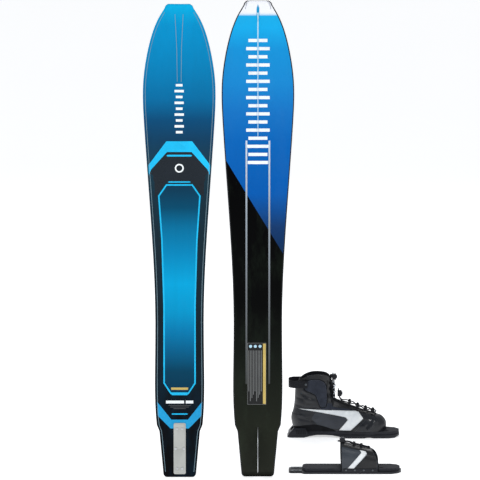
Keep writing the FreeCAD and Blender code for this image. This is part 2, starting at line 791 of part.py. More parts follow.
def pull_loop():
    """A webbing band that stands back from the heel, with a rivet hole at each end."""
    outer = [(74, 43.1), (24, 42), (10.2, 32.4), (4.5, 18)]
    inner = [(74, 40.9), (25, 39.8), (12, 30.6), (6.7, 17.4)]
    bands = []
    for name, points in (("outer", outer), ("inner", inner)):
        mirrored = [(x, -y) for x, y in reversed(points)]
        wire = Part.makePolygon([V(x, y, 187) for x, y in points + mirrored + points[:1]])
        face = face_feature(f"pull_loop_{name}_face", wire)
        bands.append(extrude(f"pull_loop_{name}", face, (0, 0, 1), "27"))
    x, z = LOOP_PIVOT
    hole = rod("pull_loop_hole", "dims.rivet_radius + 0.35", "120", (x, -60, z), (0, 1, 0))
    return cut("pull_loop_band", cut("pull_loop_strip", *bands), hole)


def loop_rivets():
    """A headed rivet on each side of the cuff, which the pull loop swings on."""
    x, z = LOOP_PIVOT
    rivets = []
    for hand in (-1, 1):
        pin = rod(f"rivet_pin_{hand + 1}", "dims.rivet_radius", "14", (x, hand * 30, z), (0, hand, 0))
        spot = (x, hand * 43.5, z)
        head = rod(f"rivet_head_{hand + 1}", "dims.rivet_radius + 2", "1.4", spot, (0, hand, 0))
        rivets.append(fuse(f"rivet_{hand + 1}", pin, head))
    return cut("loop_rivet_pair", group("loop_rivet_blanks", rivets), boot_solid("rivet_floor", -1.25))


def threaded(rows, lock, drop, slope, crossing, nose, under=None):
    """A lace from a lock down through the rows, round the last one and back to the lock.

    crossing is how far the returning strand stands off midway between two rows, and under the
    same for the strand that goes down, where it needs a point of its own.
    """
    points = [(lock[0], -4, lock[1] + LACE_END), (lock[0], -4, lock[1] - drop)]
    hand = -1
    for number, (x, z) in enumerate(rows):
        points += [(x - slope[0], hand * LACE_OUT, z + slope[1])]
        points += [(x + slope[0], hand * LACE_OUT, z - slope[1])]
        hand = -hand
        if under and number + 1 < len(rows):
            next_x, next_z = rows[number + 1]
            points.append(((x + next_x) / 2 + under[0], 0, (z + next_z) / 2 + under[1]))
    points.append((rows[-1][0] + nose[0], 0, rows[-1][1] - nose[1]))
    back = list(reversed(rows))
    for number, (x, z) in enumerate(back):
        points += [(x + slope[0], hand * LACE_OUT, z - slope[1])]
        points += [(x - slope[0], hand * LACE_OUT, z + slope[1])]
        hand = -hand
        if number + 1 < len(back):
            next_x, next_z = back[number + 1]
            points.append(((x + next_x) / 2 + crossing[0], 0, (z + next_z) / 2 + crossing[1]))
    points += [(lock[0], 4, lock[1] - drop), (lock[0], 4, lock[1] + LACE_END)]
    return points


def lower_lace():
    rows = [(x + 3.2, z + 7) for x, z in LOWER_ROWS]
    return threaded(rows, LOWER_LOCK, 24, (6.6, 2.8), (2.4, 5.4), (13, 2))


def upper_lace():
    rows = [(cuff_front(z) + 5, z) for z in reversed(UPPER_ROWS)]
    return threaded(rows, UPPER_LOCK, 15, (0, 7), (11, 0), (4, 11), (6, 0))


# ---- the toe binding ------------------------------------------------------------------

TOE_LOOPS = (234, 260)  # where the toe lace's loops stand along the gaiter
TOE_LEAN = -76.5
TOE_LACE_HEIGHT = 112  # the lace's straight ends, where its lock slides


def toe_arch(x, half, height, low, sunk):
    """An arch across the toe binding, closed along its foot, which is sunk below the arch's spring."""
    at = lambda y, z: V(x, y, z)
    rise = height - low
    left = Part.LineSegment(at(-half, low - sunk), at(-half, low + rise * 0.45)).toShape()
    crown = spline(
        [at(-half, low + rise * 0.45), at(-half * 0.72, low + rise * 0.86), at(0, height)]
        + [at(half * 0.72, low + rise * 0.86), at(half, low + rise * 0.45)],
        V(0, 0, 1),
        V(0, 0, -1),
    )
    right = Part.LineSegment(at(half, low + rise * 0.45), at(half, low - sunk)).toShape()
    foot = Part.LineSegment(at(half, low - sunk), at(-half, low - sunk)).toShape()
    return Part.Wire([left, crown, right, foot])


def arch_loft(name, grow, past=0.0):
    """The toe gaiter's form, grown or shrunk, past its ends by a length."""
    low = size("toe_plate_thickness")
    start, end = size("gaiter_start"), size("gaiter_end")
    rear, front = size("gaiter_rear_height"), size("gaiter_front_height")
    slope = (front - rear) / (end - start)
    sections = []
    for number, x in enumerate((start - past, end + past)):
        height = rear + slope * (x - start) + grow
        section = doc.addObject("Part::Feature", f"{name}_section_{number}")
        section.Shape = toe_arch(x, size("gaiter_half_width") + grow, height, low, 5 if past else 0)
        sections.append(section)
    loft = doc.addObject("Part::Loft", name)
    loft.Sections = sections
    loft.Solid = True
    loft.Ruled = True
    return loft


def toe_rail_screws():
    return [(x, hand) for x in (206, 238, 270, 302) for hand in (-1, 1)]


def slot(name, x, y, low, high):
    """A slot cutter with round ends along X."""
    wide = size("plate_hole")
    half = size("slot_length") / 2 - wide
    middle = box(name + "_middle", (x - half, x + half), (y - wide, y + wide), (low, high))
    tall = str(high - low)
    rear, front = [
        rod(f"{name}_{word}", "dims.plate_hole", tall, (x + way * half, y, low), (0, 0, 1))
        for word, way in (("rear", -1), ("front", 1))
    ]
    return fuse(name, fuse(name + "_half", middle, rear), front)


def toe_slots(name, low, high, fronts=True):
    across, along, rear = size("insert_across") / 2, size("insert_along"), 27
    xs = (rear, rear + along) if fronts else (rear,)
    spots = [(x, y) for x in xs for y in (-across, across)]
    return group(name, [slot(f"{name}_{i}", x, y, low, high) for i, (x, y) in enumerate(spots)])


def toe_plate():
    half, length = size("toe_half_width"), size("toe_plate_length")
    plan = [(0, 28), (8, 36), (44, 36), (54, half)]
    plan += [(length - 34, half), (length - 12, half * 0.72), (length, half * 0.3)]
    body = new_body("toe_plate_body")
    sketch = new_sketch(body, "toe_plate_sketch", "XY_Plane")
    whole = plan + [(x, -y) for x, y in reversed(plan)]
    sketch_outline(sketch, whole, [(3, "DistanceY", "dims.toe_half_width")])
    pad(body, sketch, "dims.toe_plate_thickness")
    return cut("toe_plate_solid", body, toe_slots("toe_plate_slot", -10, 30))


def toe_footbed():
    low, length = size("toe_plate_thickness"), size("toe_plate_length")
    plan = [(49, 20), (54, 36), (62, 42.4), (length - 38, 42.4), (length - 16, 32), (length - 5, 12)]
    body = new_body("toe_footbed_body")
    sketch = new_sketch(body, "toe_footbed_sketch", "XY_Plane", low)
    sketch_outline(sketch, plan + [(x, -y) for x, y in reversed(plan)])
    pad(body, sketch, "dims.toe_bed_thickness")
    return cut("toe_footbed_solid", body, toe_slots("toe_bed_slot", 0, 40))


def gaiter_top(x):
    rear, front = size("gaiter_rear_height"), size("gaiter_front_height")
    return rear + (front - rear) * (x - size("gaiter_start")) / (size("gaiter_end") - size("gaiter_start"))


def toe_lace():
    """Two strands along the top of the gaiter, round the front hook."""
    points = [(176, -4, TOE_LACE_HEIGHT), (214, -4, TOE_LACE_HEIGHT)]
    for x in TOE_LOOPS:
        points += [(x - 4, -9, gaiter_top(x) + 6.2), (x + 6.5, -9, gaiter_top(x) + 3.6)]
    points += [(281, -6.5, gaiter_top(281) + 5), (293, -4, gaiter_top(293) + 5)]
    return points + [(x, -y, z) for x, y, z in reversed(points)]


def make_toe_binding():
    here = FreeCAD.Placement(V(size("toe_rear"), size("toe_back"), 0), FreeCAD.Rotation())
    low = size("toe_plate_thickness")
    keep(toe_plate(), "toe_plate", here)
    keep(toe_footbed(), "toe_footbed", here)
    washer = box("toe_slot_blank", (8, 46), (-34, 34), (low, low + 1.6))
    washer = cut("toe_slot_pair", washer, box("toe_slot_between", (0, 60), (-16.5, 16.5), (0, 30)))
    washer = cut("toe_slot_plate_cut", washer, toe_slots("toe_washer_slot", 0, 30, False))
    keep(washer, "toe_slot_plates", here)

    thick = size("gaiter_thickness")
    gaiter = cut("gaiter_shell", arch_loft("gaiter_form", 0), arch_loft("gaiter_inside", -thick, 1))
    keep(gaiter, "toe_gaiter", here)
    skin = cut("toe_stripe_shell", arch_loft("toe_stripe_form", 1.2), arch_loft("toe_stripe_inside", 0, 1))
    stripe = [(253, 89.5), (261, 76), (212, 20.5), (234, 20.5), (281, 72), (273, 84)]
    stripes = common("toe_stripe_pair", skin, prism("toe_stripe_area", stripe))
    solid = arch_loft("toe_stripe_floor", 0.02, 0)
    keep(cut("toe_stripe_clean", stripes, solid), "toe_gaiter_stripes", here)
    half = size("gaiter_half_width")
    rails = [box(f"toe_rail_{y}", (194, 319), (y, y + 3), (low, 20)) for y in (-half - 3, half)]
    keep(group("toe_rails", rails), "toe_side_rails", here)
    heads = [
        rod(f"toe_rail_screw_{i}", "dims.rail_screw_head", "1.8", (x, hand * (half + 3), 14.2), (0, hand, 0))
        for i, (x, hand) in enumerate(toe_rail_screws())
    ]
    keep(group("toe_rail_heads", heads), "toe_rail_screws", here)
    loops = [
        lace_loop(f"toe_loop_{i}", x, y, gaiter_top(x) - 0.4, TOE_LEAN)
        for i, (x, y) in enumerate((x, y) for x in TOE_LOOPS for y in (-9, 9))
    ]
    keep(group("toe_loop_group", loops), "toe_lace_loops", here)
    post = rod("toe_hook_post", "2.4", "8", (286, 0, gaiter_top(286) - 0.3), (0.233, 0, 0.972))
    cap = rod("toe_hook_cap", "4.6", "1.8", (287.8, 0, gaiter_top(286) + 7.0), (0.233, 0, 0.972))
    keep(fuse("toe_hook", post, cap), "toe_front_hook", here)
    keep(cord("toe_lace_cord", toe_lace(), size("lace_diameter")), "toe_lace", here)
    on_end = FreeCAD.Rotation(V(0, 1, 0), -90)
    centre = (193, 0, TOE_LACE_HEIGHT - 3.2)
    shell, button, spot = cord_lock("toe_lock", centre, on_end, size("toe_lock_depth"))
    keep(shell, "toe_cord_lock", here.multiply(spot))
    keep(button, "toe_lock_button", here.multiply(spot))


def main():
    make_ski("left", FreeCAD.Placement())
    turned = FreeCAD.Placement(V(size("ski_spacing"), -size("ski_thickness"), 0), FreeCAD.Rotation(UP, 180))
    make_ski("right", turned)
    make_boot()
    make_toe_binding()
    doc.recompute()
    bad = [o.Name for o in doc.Objects if "Invalid" in o.State or "Error" in o.State]
    if bad:
        raise RuntimeError(f"failed features: {bad}")
    os.makedirs("parts", exist_ok=True)
    for item in exported:
        shape = item.Shape
        if shape.isNull() or not shape.isValid() or not shape.Solids:
            raise RuntimeError(f"bad shape: {item.Label}")
        print(item.Label, len(shape.Solids), round(shape.Volume / 1000, 1), "cm3", shape.BoundBox)
        shape.exportStep(f"parts/{item.Label}.step")


main()
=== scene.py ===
import math
from contextlib import contextmanager

import bmesh
import bpy
import numpy as np
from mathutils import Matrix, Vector
from mathutils.bvhtree import BVHTree


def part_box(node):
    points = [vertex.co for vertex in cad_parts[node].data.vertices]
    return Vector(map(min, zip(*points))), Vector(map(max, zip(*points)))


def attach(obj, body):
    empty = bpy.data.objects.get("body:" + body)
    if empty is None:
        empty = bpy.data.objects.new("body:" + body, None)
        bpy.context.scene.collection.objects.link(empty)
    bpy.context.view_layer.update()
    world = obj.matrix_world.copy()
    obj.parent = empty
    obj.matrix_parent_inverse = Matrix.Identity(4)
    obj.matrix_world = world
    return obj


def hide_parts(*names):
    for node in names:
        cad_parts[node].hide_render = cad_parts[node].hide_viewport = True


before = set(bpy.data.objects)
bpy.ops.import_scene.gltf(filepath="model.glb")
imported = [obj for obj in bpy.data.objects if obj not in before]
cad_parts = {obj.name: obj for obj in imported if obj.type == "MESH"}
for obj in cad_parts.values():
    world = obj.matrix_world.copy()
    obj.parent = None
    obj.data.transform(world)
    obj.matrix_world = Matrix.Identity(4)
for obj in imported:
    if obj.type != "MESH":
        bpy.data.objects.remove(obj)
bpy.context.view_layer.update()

# Water skis standing side by side with a boot binding and a toe binding. Metres, +Z up, as the frame.

MM = 0.001
SKI_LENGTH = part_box("left_ski_core")[1][2]
SKI_GAP = sum(c[0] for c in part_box("right_ski_fin")) / 2
BREAK_SLOPE = 1.66  # the base's diagonal break: how steeply it falls from left to right
BREAK_HEIGHT = 0.97  # and how high it is on the middle line
BOOT_X, TOE_X = (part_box(plate)[0][0] for plate in ("boot_plate", "toe_plate"))
BOOT_Y, TOE_Y = (sum(c[1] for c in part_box(plate)) / 2 for plate in ("boot_plate", "toe_plate"))
# the Y each body's printed and sewn shapes are felt from, on both sides
MIDDLES = {"left_ski": -0.012, "right_ski": -0.012, "boot_binding": BOOT_Y, "toe_binding": TOE_Y}


# ---- materials ---------------------------------------------------------------------------


def srgb(red, green, blue):
    """A colour given as 0 to 255 screen values, in linear light."""
    linear = [c / 255 / 12.92 if c < 11 else ((c / 255 + 0.055) / 1.055) ** 2.4 for c in (red, green, blue)]
    return (*linear, 1.0)


def shades(*stops):
    """Ramp stops from rows of a place and the three parts of a screen colour."""
    return [(place, srgb(*colour)) for place, *colour in stops]


class Surface:
    """A node material under construction, over object coordinates."""

    def __init__(self, name, rough=0.5, metallic=0.0, coat=0.0, sheen=0.0, specular=0.2):
        self.material = bpy.data.materials.new(name)
        self.material.use_nodes = True
        self.tree = self.material.node_tree
        self.shader = self.tree.nodes["Principled BSDF"]
        for socket, value in (
            ("Roughness", rough),
            ("Metallic", metallic),
            ("Coat Weight", coat),
            ("Sheen Weight", sheen),
            ("Specular IOR Level", specular),
        ):
            self.shader.inputs[socket].default_value = value
        self.shader.inputs["Coat Roughness"].default_value = 0.08
        self.coordinates = self.node("ShaderNodeTexCoord").outputs["Object"]

    def node(self, kind, **settings):
        made = self.tree.nodes.new(kind)
        for key, value in settings.items():
            setattr(made, key, value)
        return made

    def link(self, output, socket):
        self.tree.links.new(output, socket)

    def scaled(self, x, y, z):
        """Object coordinates scaled on each axis."""
        mapping = self.node("ShaderNodeMapping")
        mapping.inputs["Scale"].default_value = (x, y, z)
        self.link(self.coordinates, mapping.inputs["Vector"])
        return mapping.outputs["Vector"]

    def noise(self, scale, detail=3.0, stretch=(1, 1, 1), rough=0.55):
        texture = self.node("ShaderNodeTexNoise")
        self.link(self.scaled(*stretch), texture.inputs["Vector"])
        texture.inputs["Scale"].default_value = scale
        texture.inputs["Detail"].default_value = detail
        texture.inputs["Roughness"].default_value = rough
        return texture.outputs["Fac"]

    def ramp(self, factor, stops):
        ramp = self.node("ShaderNodeValToRGB")
        elements = ramp.color_ramp.elements
        elements[0].position, elements[0].color = stops[0]
        elements[1].position, elements[1].color = stops[-1]
        for place, colour in stops[1:-1]:
            elements.new(place).color = colour
        self.link(factor, ramp.inputs["Fac"])
        return ramp.outputs["Color"]

    def feed(self, socket, value):
        """Sets a socket to a value, or links an output to it."""
        if isinstance(value, (int, float, tuple)):
            socket.default_value = value
        else:
            self.link(value, socket)

    def math(self, operation, a, b=0.0):
        made = self.node("ShaderNodeMath", operation=operation)
        for socket, value in zip(made.inputs, (a, b)):
            self.feed(socket, value)
        return made.outputs[0]

    def mix(self, factor, a, b):
        made = self.node("ShaderNodeMix", data_type="RGBA")
        for number, value in ((0, factor), (6, a), (7, b)):
            self.feed(made.inputs[number], value)
        return made.outputs[2]

    def axis(self, index):
        split = self.node("ShaderNodeSeparateXYZ")
        self.link(self.coordinates, split.inputs[0])
        return split.outputs[index]

    def height_share(self):
        """Height as a share of the ski's length."""
        return self.math("DIVIDE", self.axis(2), SKI_LENGTH)

    def scuffed(self, base, mask, low, high, strength, colour):
        """A base with scuffs of another colour where a noise is high."""
        scuffs = self.ramp(mask, [(low, (0, 0, 0, 1)), (high, (1, 1, 1, 1))])
        return self.mix(scuffs, base, self.mix(strength, base, colour))

    def colour(self, output):
        self.link(output, self.shader.inputs["Base Color"])
        return self

    def worn(self, colour, amount=0.12, scale=18.0):
        """A colour with soft blotches of a lighter and a darker tone."""
        light = tuple(min(1.0, c * (1 + amount) + amount * 0.015) for c in colour[:3]) + (1.0,)
        dark = tuple(c * (1 - amount) for c in colour[:3]) + (1.0,)
        return self.colour(self.ramp(self.noise(scale, 4.0), [(0.3, dark), (0.7, light)]))

    def roughness(self, low, high, scale=30.0, stretch=(1, 1, 1)):
        spread = self.node("ShaderNodeMapRange")
        self.link(self.noise(scale, 3.0, stretch), spread.inputs[0])
        spread.inputs[3].default_value, spread.inputs[4].default_value = low, high
        self.link(spread.outputs[0], self.shader.inputs["Roughness"])
        return self

    def relief(self, height, strength, distance):
        bump = self.node("ShaderNodeBump")
        bump.inputs["Strength"].default_value = strength
        bump.inputs["Distance"].default_value = distance
        self.link(height, bump.inputs["Height"])
        self.link(bump.outputs["Normal"], self.shader.inputs["Normal"])
        return self

    def weave(self, pitch):
        """A plain weave's height: two crossed waves, one along each diagonal of X, Y and Z."""
        waves = []
        for direction in ((1, 1, 0.2), (0.2, 0.3, 1)):
            wave = self.node("ShaderNodeTexWave", bands_direction="DIAGONAL", wave_profile="SIN")
            self.link(self.scaled(*direction), wave.inputs["Vector"])
            wave.inputs["Scale"].default_value = 0.32 / pitch
            waves.append(wave.outputs["Fac"])
        return self.math("MAXIMUM", *waves)

    def cells(self, scale):
        texture = self.node("ShaderNodeTexVoronoi", feature="F1")
        self.link(self.coordinates, texture.inputs["Vector"])
        texture.inputs["Scale"].default_value = scale
        return texture.outputs["Distance"]


def leather(name, colour, rough=0.42):
    made = Surface(name, rough, specular=0.42).worn(colour, 0.16, 22)
    made.roughness(rough - 0.08, rough + 0.12, 60)
    height = made.math("ADD", made.cells(900), made.noise(180, 4.0))
    return made.relief(height, 0.22, 0.0006).material


def knit(name, colour, pitch=0.0016, rough=0.85):
    made = Surface(name, rough, sheen=0.03, specular=0.12).worn(colour, 0.2, 35)
    return made.relief(made.weave(pitch), 0.6, 0.0006).material


def plastic(name, colour, rough=0.42, coat=0.0, grain=1400):
    made = Surface(name, rough, coat=coat, specular=0.22).worn(colour, 0.1, 14)
    made.roughness(rough - 0.07, rough + 0.1, 45)
    return made.relief(made.noise(grain, 2.0), 0.12, 0.0003).material


def metal(name, colour, rough=0.3, stretch=(1, 1, 0.03)):
    made = Surface(name, rough, metallic=1.0).worn(colour, 0.06, 9)
    made.roughness(rough - 0.08, rough + 0.12, 900, stretch)
    return made.relief(made.noise(1500, 2.0, stretch), 0.08, 0.0002).material


def foam(name, colour):
    made = Surface(name, 0.72, specular=0.15).worn(colour, 0.15, 30)
    return made.relief(made.cells(420), 0.5, 0.0008).material


def ski_top_paint(name):
    """The top's blue, brightest at the tip, fading to charcoal under the bindings."""
    made = Surface(name, 0.24, specular=0.05)
    stops = shades(
        (0.0, 4, 4, 6), (0.12, 5, 6, 9), (0.2, 12, 22, 29), (0.45, 22, 36, 44), (0.6, 24, 44, 54),
        (0.66, 27, 54, 66), (0.715, 16, 60, 92), (0.755, 8, 72, 114), (0.80, 4, 105, 156),
        (0.88, 3, 127, 181), (0.955, 2, 142, 198), (1.0, 4, 170, 219),
    )
    base = made.ramp(made.height_share(), stops)
    base = made.scuffed(base, made.noise(7, 6.0, (2.2, 1, 0.5), 0.7), 0.42, 0.75, 0.16, srgb(6, 78, 112))
    made.colour(base).roughness(0.16, 0.3, 25)
    return made.relief(made.noise(260, 2.0), 0.04, 0.0003).material


def panel_paint(name):
    """The inner panel's glow, brightest a little below its middle."""
    made = Surface(name, 0.24, specular=0.05)
    stops = shades(
        (0.17, 4, 50, 76), (0.225, 2, 64, 92), (0.27, 2, 98, 142), (0.31, 2, 124, 176),
        (0.35, 2, 150, 202), (0.41, 2, 166, 220), (0.475, 2, 136, 188), (0.53, 3, 112, 156),
        (0.57, 3, 74, 106), (0.61, 12, 58, 84),
    )
    base = made.ramp(made.height_share(), stops)
    streaks = made.noise(9, 5.0, (6, 1, 0.25), 0.65)
    base = made.mix(made.math("MULTIPLY", streaks, 0.35), base, made.mix(0.5, base, srgb(8, 40, 60)))
    made.colour(base).roughness(0.16, 0.3, 25)
    return made.material


def ski_base_paint(name, middle):
    """The base: blue above a diagonal break and black below it, with a fine scuff."""
    made = Surface(name, 0.26, specular=0.03)
    across = made.math("SUBTRACT", made.axis(0), middle)
    height = made.axis(2)
    up = made.height_share()
    blue = made.ramp(
        up,
        shades(
            (0.44, 14, 36, 66), (0.53, 22, 56, 104), (0.60, 8, 88, 170), (0.71, 12, 98, 178),
            (0.77, 24, 112, 188), (0.83, 27, 132, 202), (0.90, 24, 142, 208), (0.945, 26, 168, 228),
            (0.9715, 30, 168, 224), (0.9730, 238, 240, 246),
        ),
    )
    black = made.ramp(
        up,
        shades(
            (0.0, 4, 4, 3), (0.012, 40, 42, 36), (0.1, 34, 37, 30), (0.25, 20, 24, 20), (0.36, 5, 6, 6),
            (0.6, 2, 2, 3),
        ),
    )
    # the break falls from the left edge to the right edge
    line = made.math("ADD", height, made.math("MULTIPLY", across, BREAK_SLOPE))
    above = made.math("GREATER_THAN", line, BREAK_HEIGHT)
    base = made.mix(above, black, blue)
    base = made.scuffed(base, made.noise(6, 7.0, (2.5, 1, 0.8), 0.72), 0.5, 0.8, 0.035, srgb(120, 150, 120))
    made.colour(base).roughness(0.18, 0.34, 25)
    return made.relief(made.noise(260, 2.0), 0.04, 0.0003).material


def rail_highlight_paint(name):
    """Painted highlights along the rail grooves, dark at the tail and pale towards the tip."""
    made = Surface(name, 0.3, specular=0.1)
    stops = shades(
        (0.2, 64, 67, 66), (0.4, 112, 117, 122), (0.56, 150, 160, 170), (0.71, 196, 210, 224),
    )
    return made.colour(made.ramp(made.height_share(), stops)).material


def cover_metal(name):
    """The fin cover's brushed metal under a thin lacquer."""
    made = Surface(name, 0.34, metallic=0.35, coat=0.1).worn(srgb(180, 182, 178), 0.05, 12)
    return made.roughness(0.26, 0.42, 400, (1, 1, 0.05)).material


UPPER = leather("upper_leather", srgb(25, 27, 32), 0.29)
UPPER_SIDE = leather("upper_side", srgb(46, 50, 58), 0.42)
GAITER = leather("gaiter_leather", srgb(52, 58, 66), 0.30)
UPPER_DARK = leather("upper_dark", srgb(14, 15, 19), 0.32)
PANEL = knit("ankle_knit", srgb(46, 50, 60), 0.0022, 0.7)
GLOSS = plastic("gloss_overlay", srgb(24, 27, 33), 0.2, 0.35)
WHITE = leather("white_overlay", srgb(236, 241, 246), 0.38)
PIPING = knit("black_piping", srgb(16, 17, 20), 0.0012)
LINER = knit("liner_knit", srgb(20, 21, 25), 0.0018)
MESH = knit("toe_mesh", srgb(13, 14, 17), 0.003)
WEBBING = knit("webbing", srgb(26, 27, 31), 0.0024, 0.7)
LACE_PALE = knit("lace_pale", srgb(226, 229, 234), 0.0012)
LACE_DARK = knit("lace_dark", srgb(34, 35, 40), 0.0012)
CHASSIS = plastic("chassis_plastic", srgb(30, 32, 38), 0.34)
LOCK = plastic("lock_plastic", srgb(30, 31, 36), 0.34)
BUTTON = plastic("button_plastic", srgb(58, 61, 68), 0.4)
FOOTBED = foam("footbed_foam", srgb(44, 45, 50))
STEEL = metal("steel", (0.55, 0.56, 0.58, 1), 0.28, (1, 1, 1))
INSERT = metal("insert_bronze", (0.10, 0.08, 0.05, 1), 0.4, (1, 1, 1))
FIN = metal("fin_metal", (0.60, 0.62, 0.64, 1), 0.3, (1, 0.05, 1))
FIN_BOX = metal("fin_box_metal", (0.10, 0.11, 0.12, 1), 0.4)
CORE = plastic("ski_side", srgb(22, 24, 28), 0.3)
CYAN = plastic("cyan_print", srgb(10, 186, 238), 0.25)
CYAN_TAIL = plastic("cyan_print_tail", srgb(12, 152, 208), 0.25)
CYAN_DEEP = plastic("cyan_print_deep", srgb(8, 146, 198), 0.25)
NAVY = plastic("navy_print", srgb(12, 24, 34), 0.25)
SILVER = plastic("silver_print", srgb(176, 214, 232), 0.3)
# painted highlight on the top's bevelled edges and on the tip's ridges
EDGE_HIGHLIGHT = plastic("edge_highlight", srgb(120, 146, 158), 0.25)
WHITE_PRINT = plastic("white_print", srgb(238, 244, 248), 0.28, 0.04)
GOLD = plastic("gold_print", srgb(196, 172, 96), 0.3)
GREY_LINE = plastic("grey_line", srgb(116, 118, 118), 0.35)
LABEL = plastic("label_print", srgb(20, 21, 22), 0.35)
# painted highlight along the base's rail grooves
RAIL_HIGHLIGHT = rail_highlight_paint("rail_highlight")
GREY_PRINT = plastic("grey_print", srgb(72, 75, 76), 0.35, 0.04)
COVER = cover_metal("fin_cover")
TOP_PAINT = ski_top_paint("top_paint")
PANEL_PAINT = panel_paint("panel_paint")
THREAD = knit("thread", srgb(96, 99, 106), 0.0008, 0.6)
THREAD_PALE = knit("thread_dark", srgb(150, 154, 162), 0.0008, 0.6)


# ---- mesh helpers ------------------------------------------------------------------------


def smoothed(mesh):
    for face in mesh.polygons:
        face.use_smooth = True


def add_piece(name, mesh, material, body):
    """A smooth-shaded piece that rides on a body."""
    piece = bpy.data.objects.new(name, mesh)
    bpy.context.scene.collection.objects.link(piece)
    if material is not None:
        mesh.materials.append(material)
    smoothed(mesh)
    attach(piece, body)
    return piece


def mesh_from(name, points, faces):
    mesh = bpy.data.meshes.new(name)
    mesh.from_pydata([tuple(p) for p in points], [], faces)
    mesh.validate()
    mesh.update()
    return mesh


@contextmanager
def edited(mesh):
    """A mesh opened for editing, and written back afterwards."""
    work = bmesh.new()
    work.from_mesh(mesh)
    yield work
    work.to_mesh(mesh)
    work.free()


def outward(mesh):
    """Turns a closed mesh's faces outward."""
    with edited(mesh) as work:
        bmesh.ops.recalc_face_normals(work, faces=work.faces)
    return mesh


def apply_modifiers(piece):
    """Applies a piece's modifiers to its mesh."""
    graph = bpy.context.evaluated_depsgraph_get()
    mesh = bpy.data.meshes.new_from_object(piece.evaluated_get(graph))
    piece.modifiers.clear()
    old = piece.data
    piece.data = mesh
    bpy.data.meshes.remove(old)


def thickened(piece, thick, offset):
    """Gives a surface a thickness; offset runs from -1, all inwards, to 1, all outwards."""
    solid = piece.modifiers.new("thickness", "SOLIDIFY")
    solid.thickness, solid.offset = thick, offset
    apply_modifiers(piece)


def sharp_shaded(piece, degrees):
    """Smooth shading that keeps edges over an angle crisp."""
    smoothed(piece.data)
    piece.data.set_sharp_from_angle(angle=math.radians(degrees))


def tree_of(piece):
    """A piece's surface, to be felt with rays."""
    work = bmesh.new()
    work.from_mesh(piece.data)
    tree = BVHTree.FromBMesh(work)
    work.free()
    return tree


def node_tree_of(node):
    return tree_of(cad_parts[node])


def eased(node, body, material, width, segments=3):
    """A CAD piece again, with its sharp edges eased."""
    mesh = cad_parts[node].data.copy()
    mesh.materials.clear()
    with edited(mesh) as work:
        bmesh.ops.remove_doubles(work, verts=work.verts, dist=1e-6)
        bmesh.ops.dissolve_limit(work, angle_limit=math.radians(2.0), verts=work.verts, edges=work.edges)
    piece = add_piece(node + "_eased", mesh, material, body)
    bevel = piece.modifiers.new("ease", "BEVEL")
    bevel.width, bevel.segments, bevel.limit_method = width, segments, "ANGLE"
    bevel.angle_limit = math.radians(38)
    bevel.use_clamp_overlap = True
    apply_modifiers(piece)
    outward(piece.data)
    sharp_shaded(piece, 40)
    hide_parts(node)
    return piece


def tube(name, points, radius, material, body, smooth_steps=6):
    """A round cord through points, on one smooth curve."""
    curve = bpy.data.curves.new(name + "_curve", "CURVE")
    curve.dimensions = "3D"
    line = curve.splines.new("NURBS")
    line.points.add(len(points) - 1)
    for spot, point in zip(line.points, points):
        spot.co = (*point, 1.0)
    line.order_u = 3
    line.use_endpoint_u = True
    line.resolution_u = smooth_steps
    curve.bevel_depth, curve.bevel_resolution, curve.use_fill_caps = radius, 3, True
    shape = bpy.data.objects.new(name + "_shape", curve)
    bpy.context.scene.collection.objects.link(shape)
    graph = bpy.context.evaluated_depsgraph_get()
    mesh = bpy.data.meshes.new_from_object(shape.evaluated_get(graph))
    bpy.data.objects.remove(shape)
    return add_piece(name, outward(mesh), material, body)


def cells_of(outline, step):
    """An outline of (x, z) points as a fine flat mesh, with its edge kept crisp."""
    work = bmesh.new()
    corners = [work.verts.new((x, 0.0, z)) for x, z in outline]
    work.faces.new(corners)
    lows = [min(p[i] for p in outline) for i in (0, 1)]
    highs = [max(p[i] for p in outline) for i in (0, 1)]
    for axis, low, high in ((0, lows[0], highs[0]), (2, lows[1], highs[1])):
        normal = Vector((1, 0, 0)) if axis == 0 else Vector((0, 0, 1))
        count = max(1, int((high - low) / step))
        for number in range(1, count):
            spot = Vector((0, 0, 0))
            spot[axis] = low + (high - low) * number / count
            every = work.verts[:] + work.edges[:] + work.faces[:]
            bmesh.ops.bisect_plane(work, geom=every, plane_co=spot, plane_no=normal, dist=1e-7)
    bmesh.ops.triangulate(work, faces=work.faces[:])
    return work


RAY_START = 0.4  # how far outside a surface the rays that feel it begin


def inlay(name, outline, tree, hand, material, body, lift, thick, step):
    """A thin piece that lies on a surface, cut to an outline in the side view.

    hand is -1 for the surface that faces -Y and 1 for the one that faces +Y.
    """
    work = cells_of(outline, step)
    lost = []
    for vert in work.verts:
        start = Vector((vert.co.x, MIDDLES[body] + hand * RAY_START, vert.co.z))
        hit, normal, _, _ = tree.ray_cast(start, Vector((0, -hand, 0)))
        if hit is None:
            lost.append(vert)
            continue
        if normal.y * hand < 0:
            normal = -normal
        vert.co = hit + normal * lift
    bmesh.ops.delete(work, geom=lost, context="VERTS")
    mesh = bpy.data.meshes.new(name)
    work.to_mesh(mesh)
    work.free()
    piece = add_piece(name, mesh, material, body)
    thickened(piece, thick, 0.0)
    outward(piece.data)
    sharp_shaded(piece, 40)
    return piece


def stroke(points, width, closed=False):
    """The outline of a line of even width through (x, z) points, with mitred corners."""
    count = len(points)
    left, right = [], []
    for number in range(count):
        here = Vector(points[number])
        directions = []
        if number or closed:
            directions.append((here - Vector(points[number - 1])).normalized())
        if number + 1 < count or closed:
            directions.append((Vector(points[(number + 1) % count]) - here).normalized())
        along = sum(directions, Vector((0, 0))).normalized()
        side = Vector((-along.y, along.x))
        stretch = 1.0 / max(0.4, side.dot(Vector((-directions[0].y, directions[0].x))))
        left.append(tuple(here + side * width / 2 * stretch))
        right.append(tuple(here - side * width / 2 * stretch))
    if closed:
        return [[left[i], left[(i + 1) % count], right[(i + 1) % count], right[i]] for i in range(count)]
    return [left + right[::-1]]


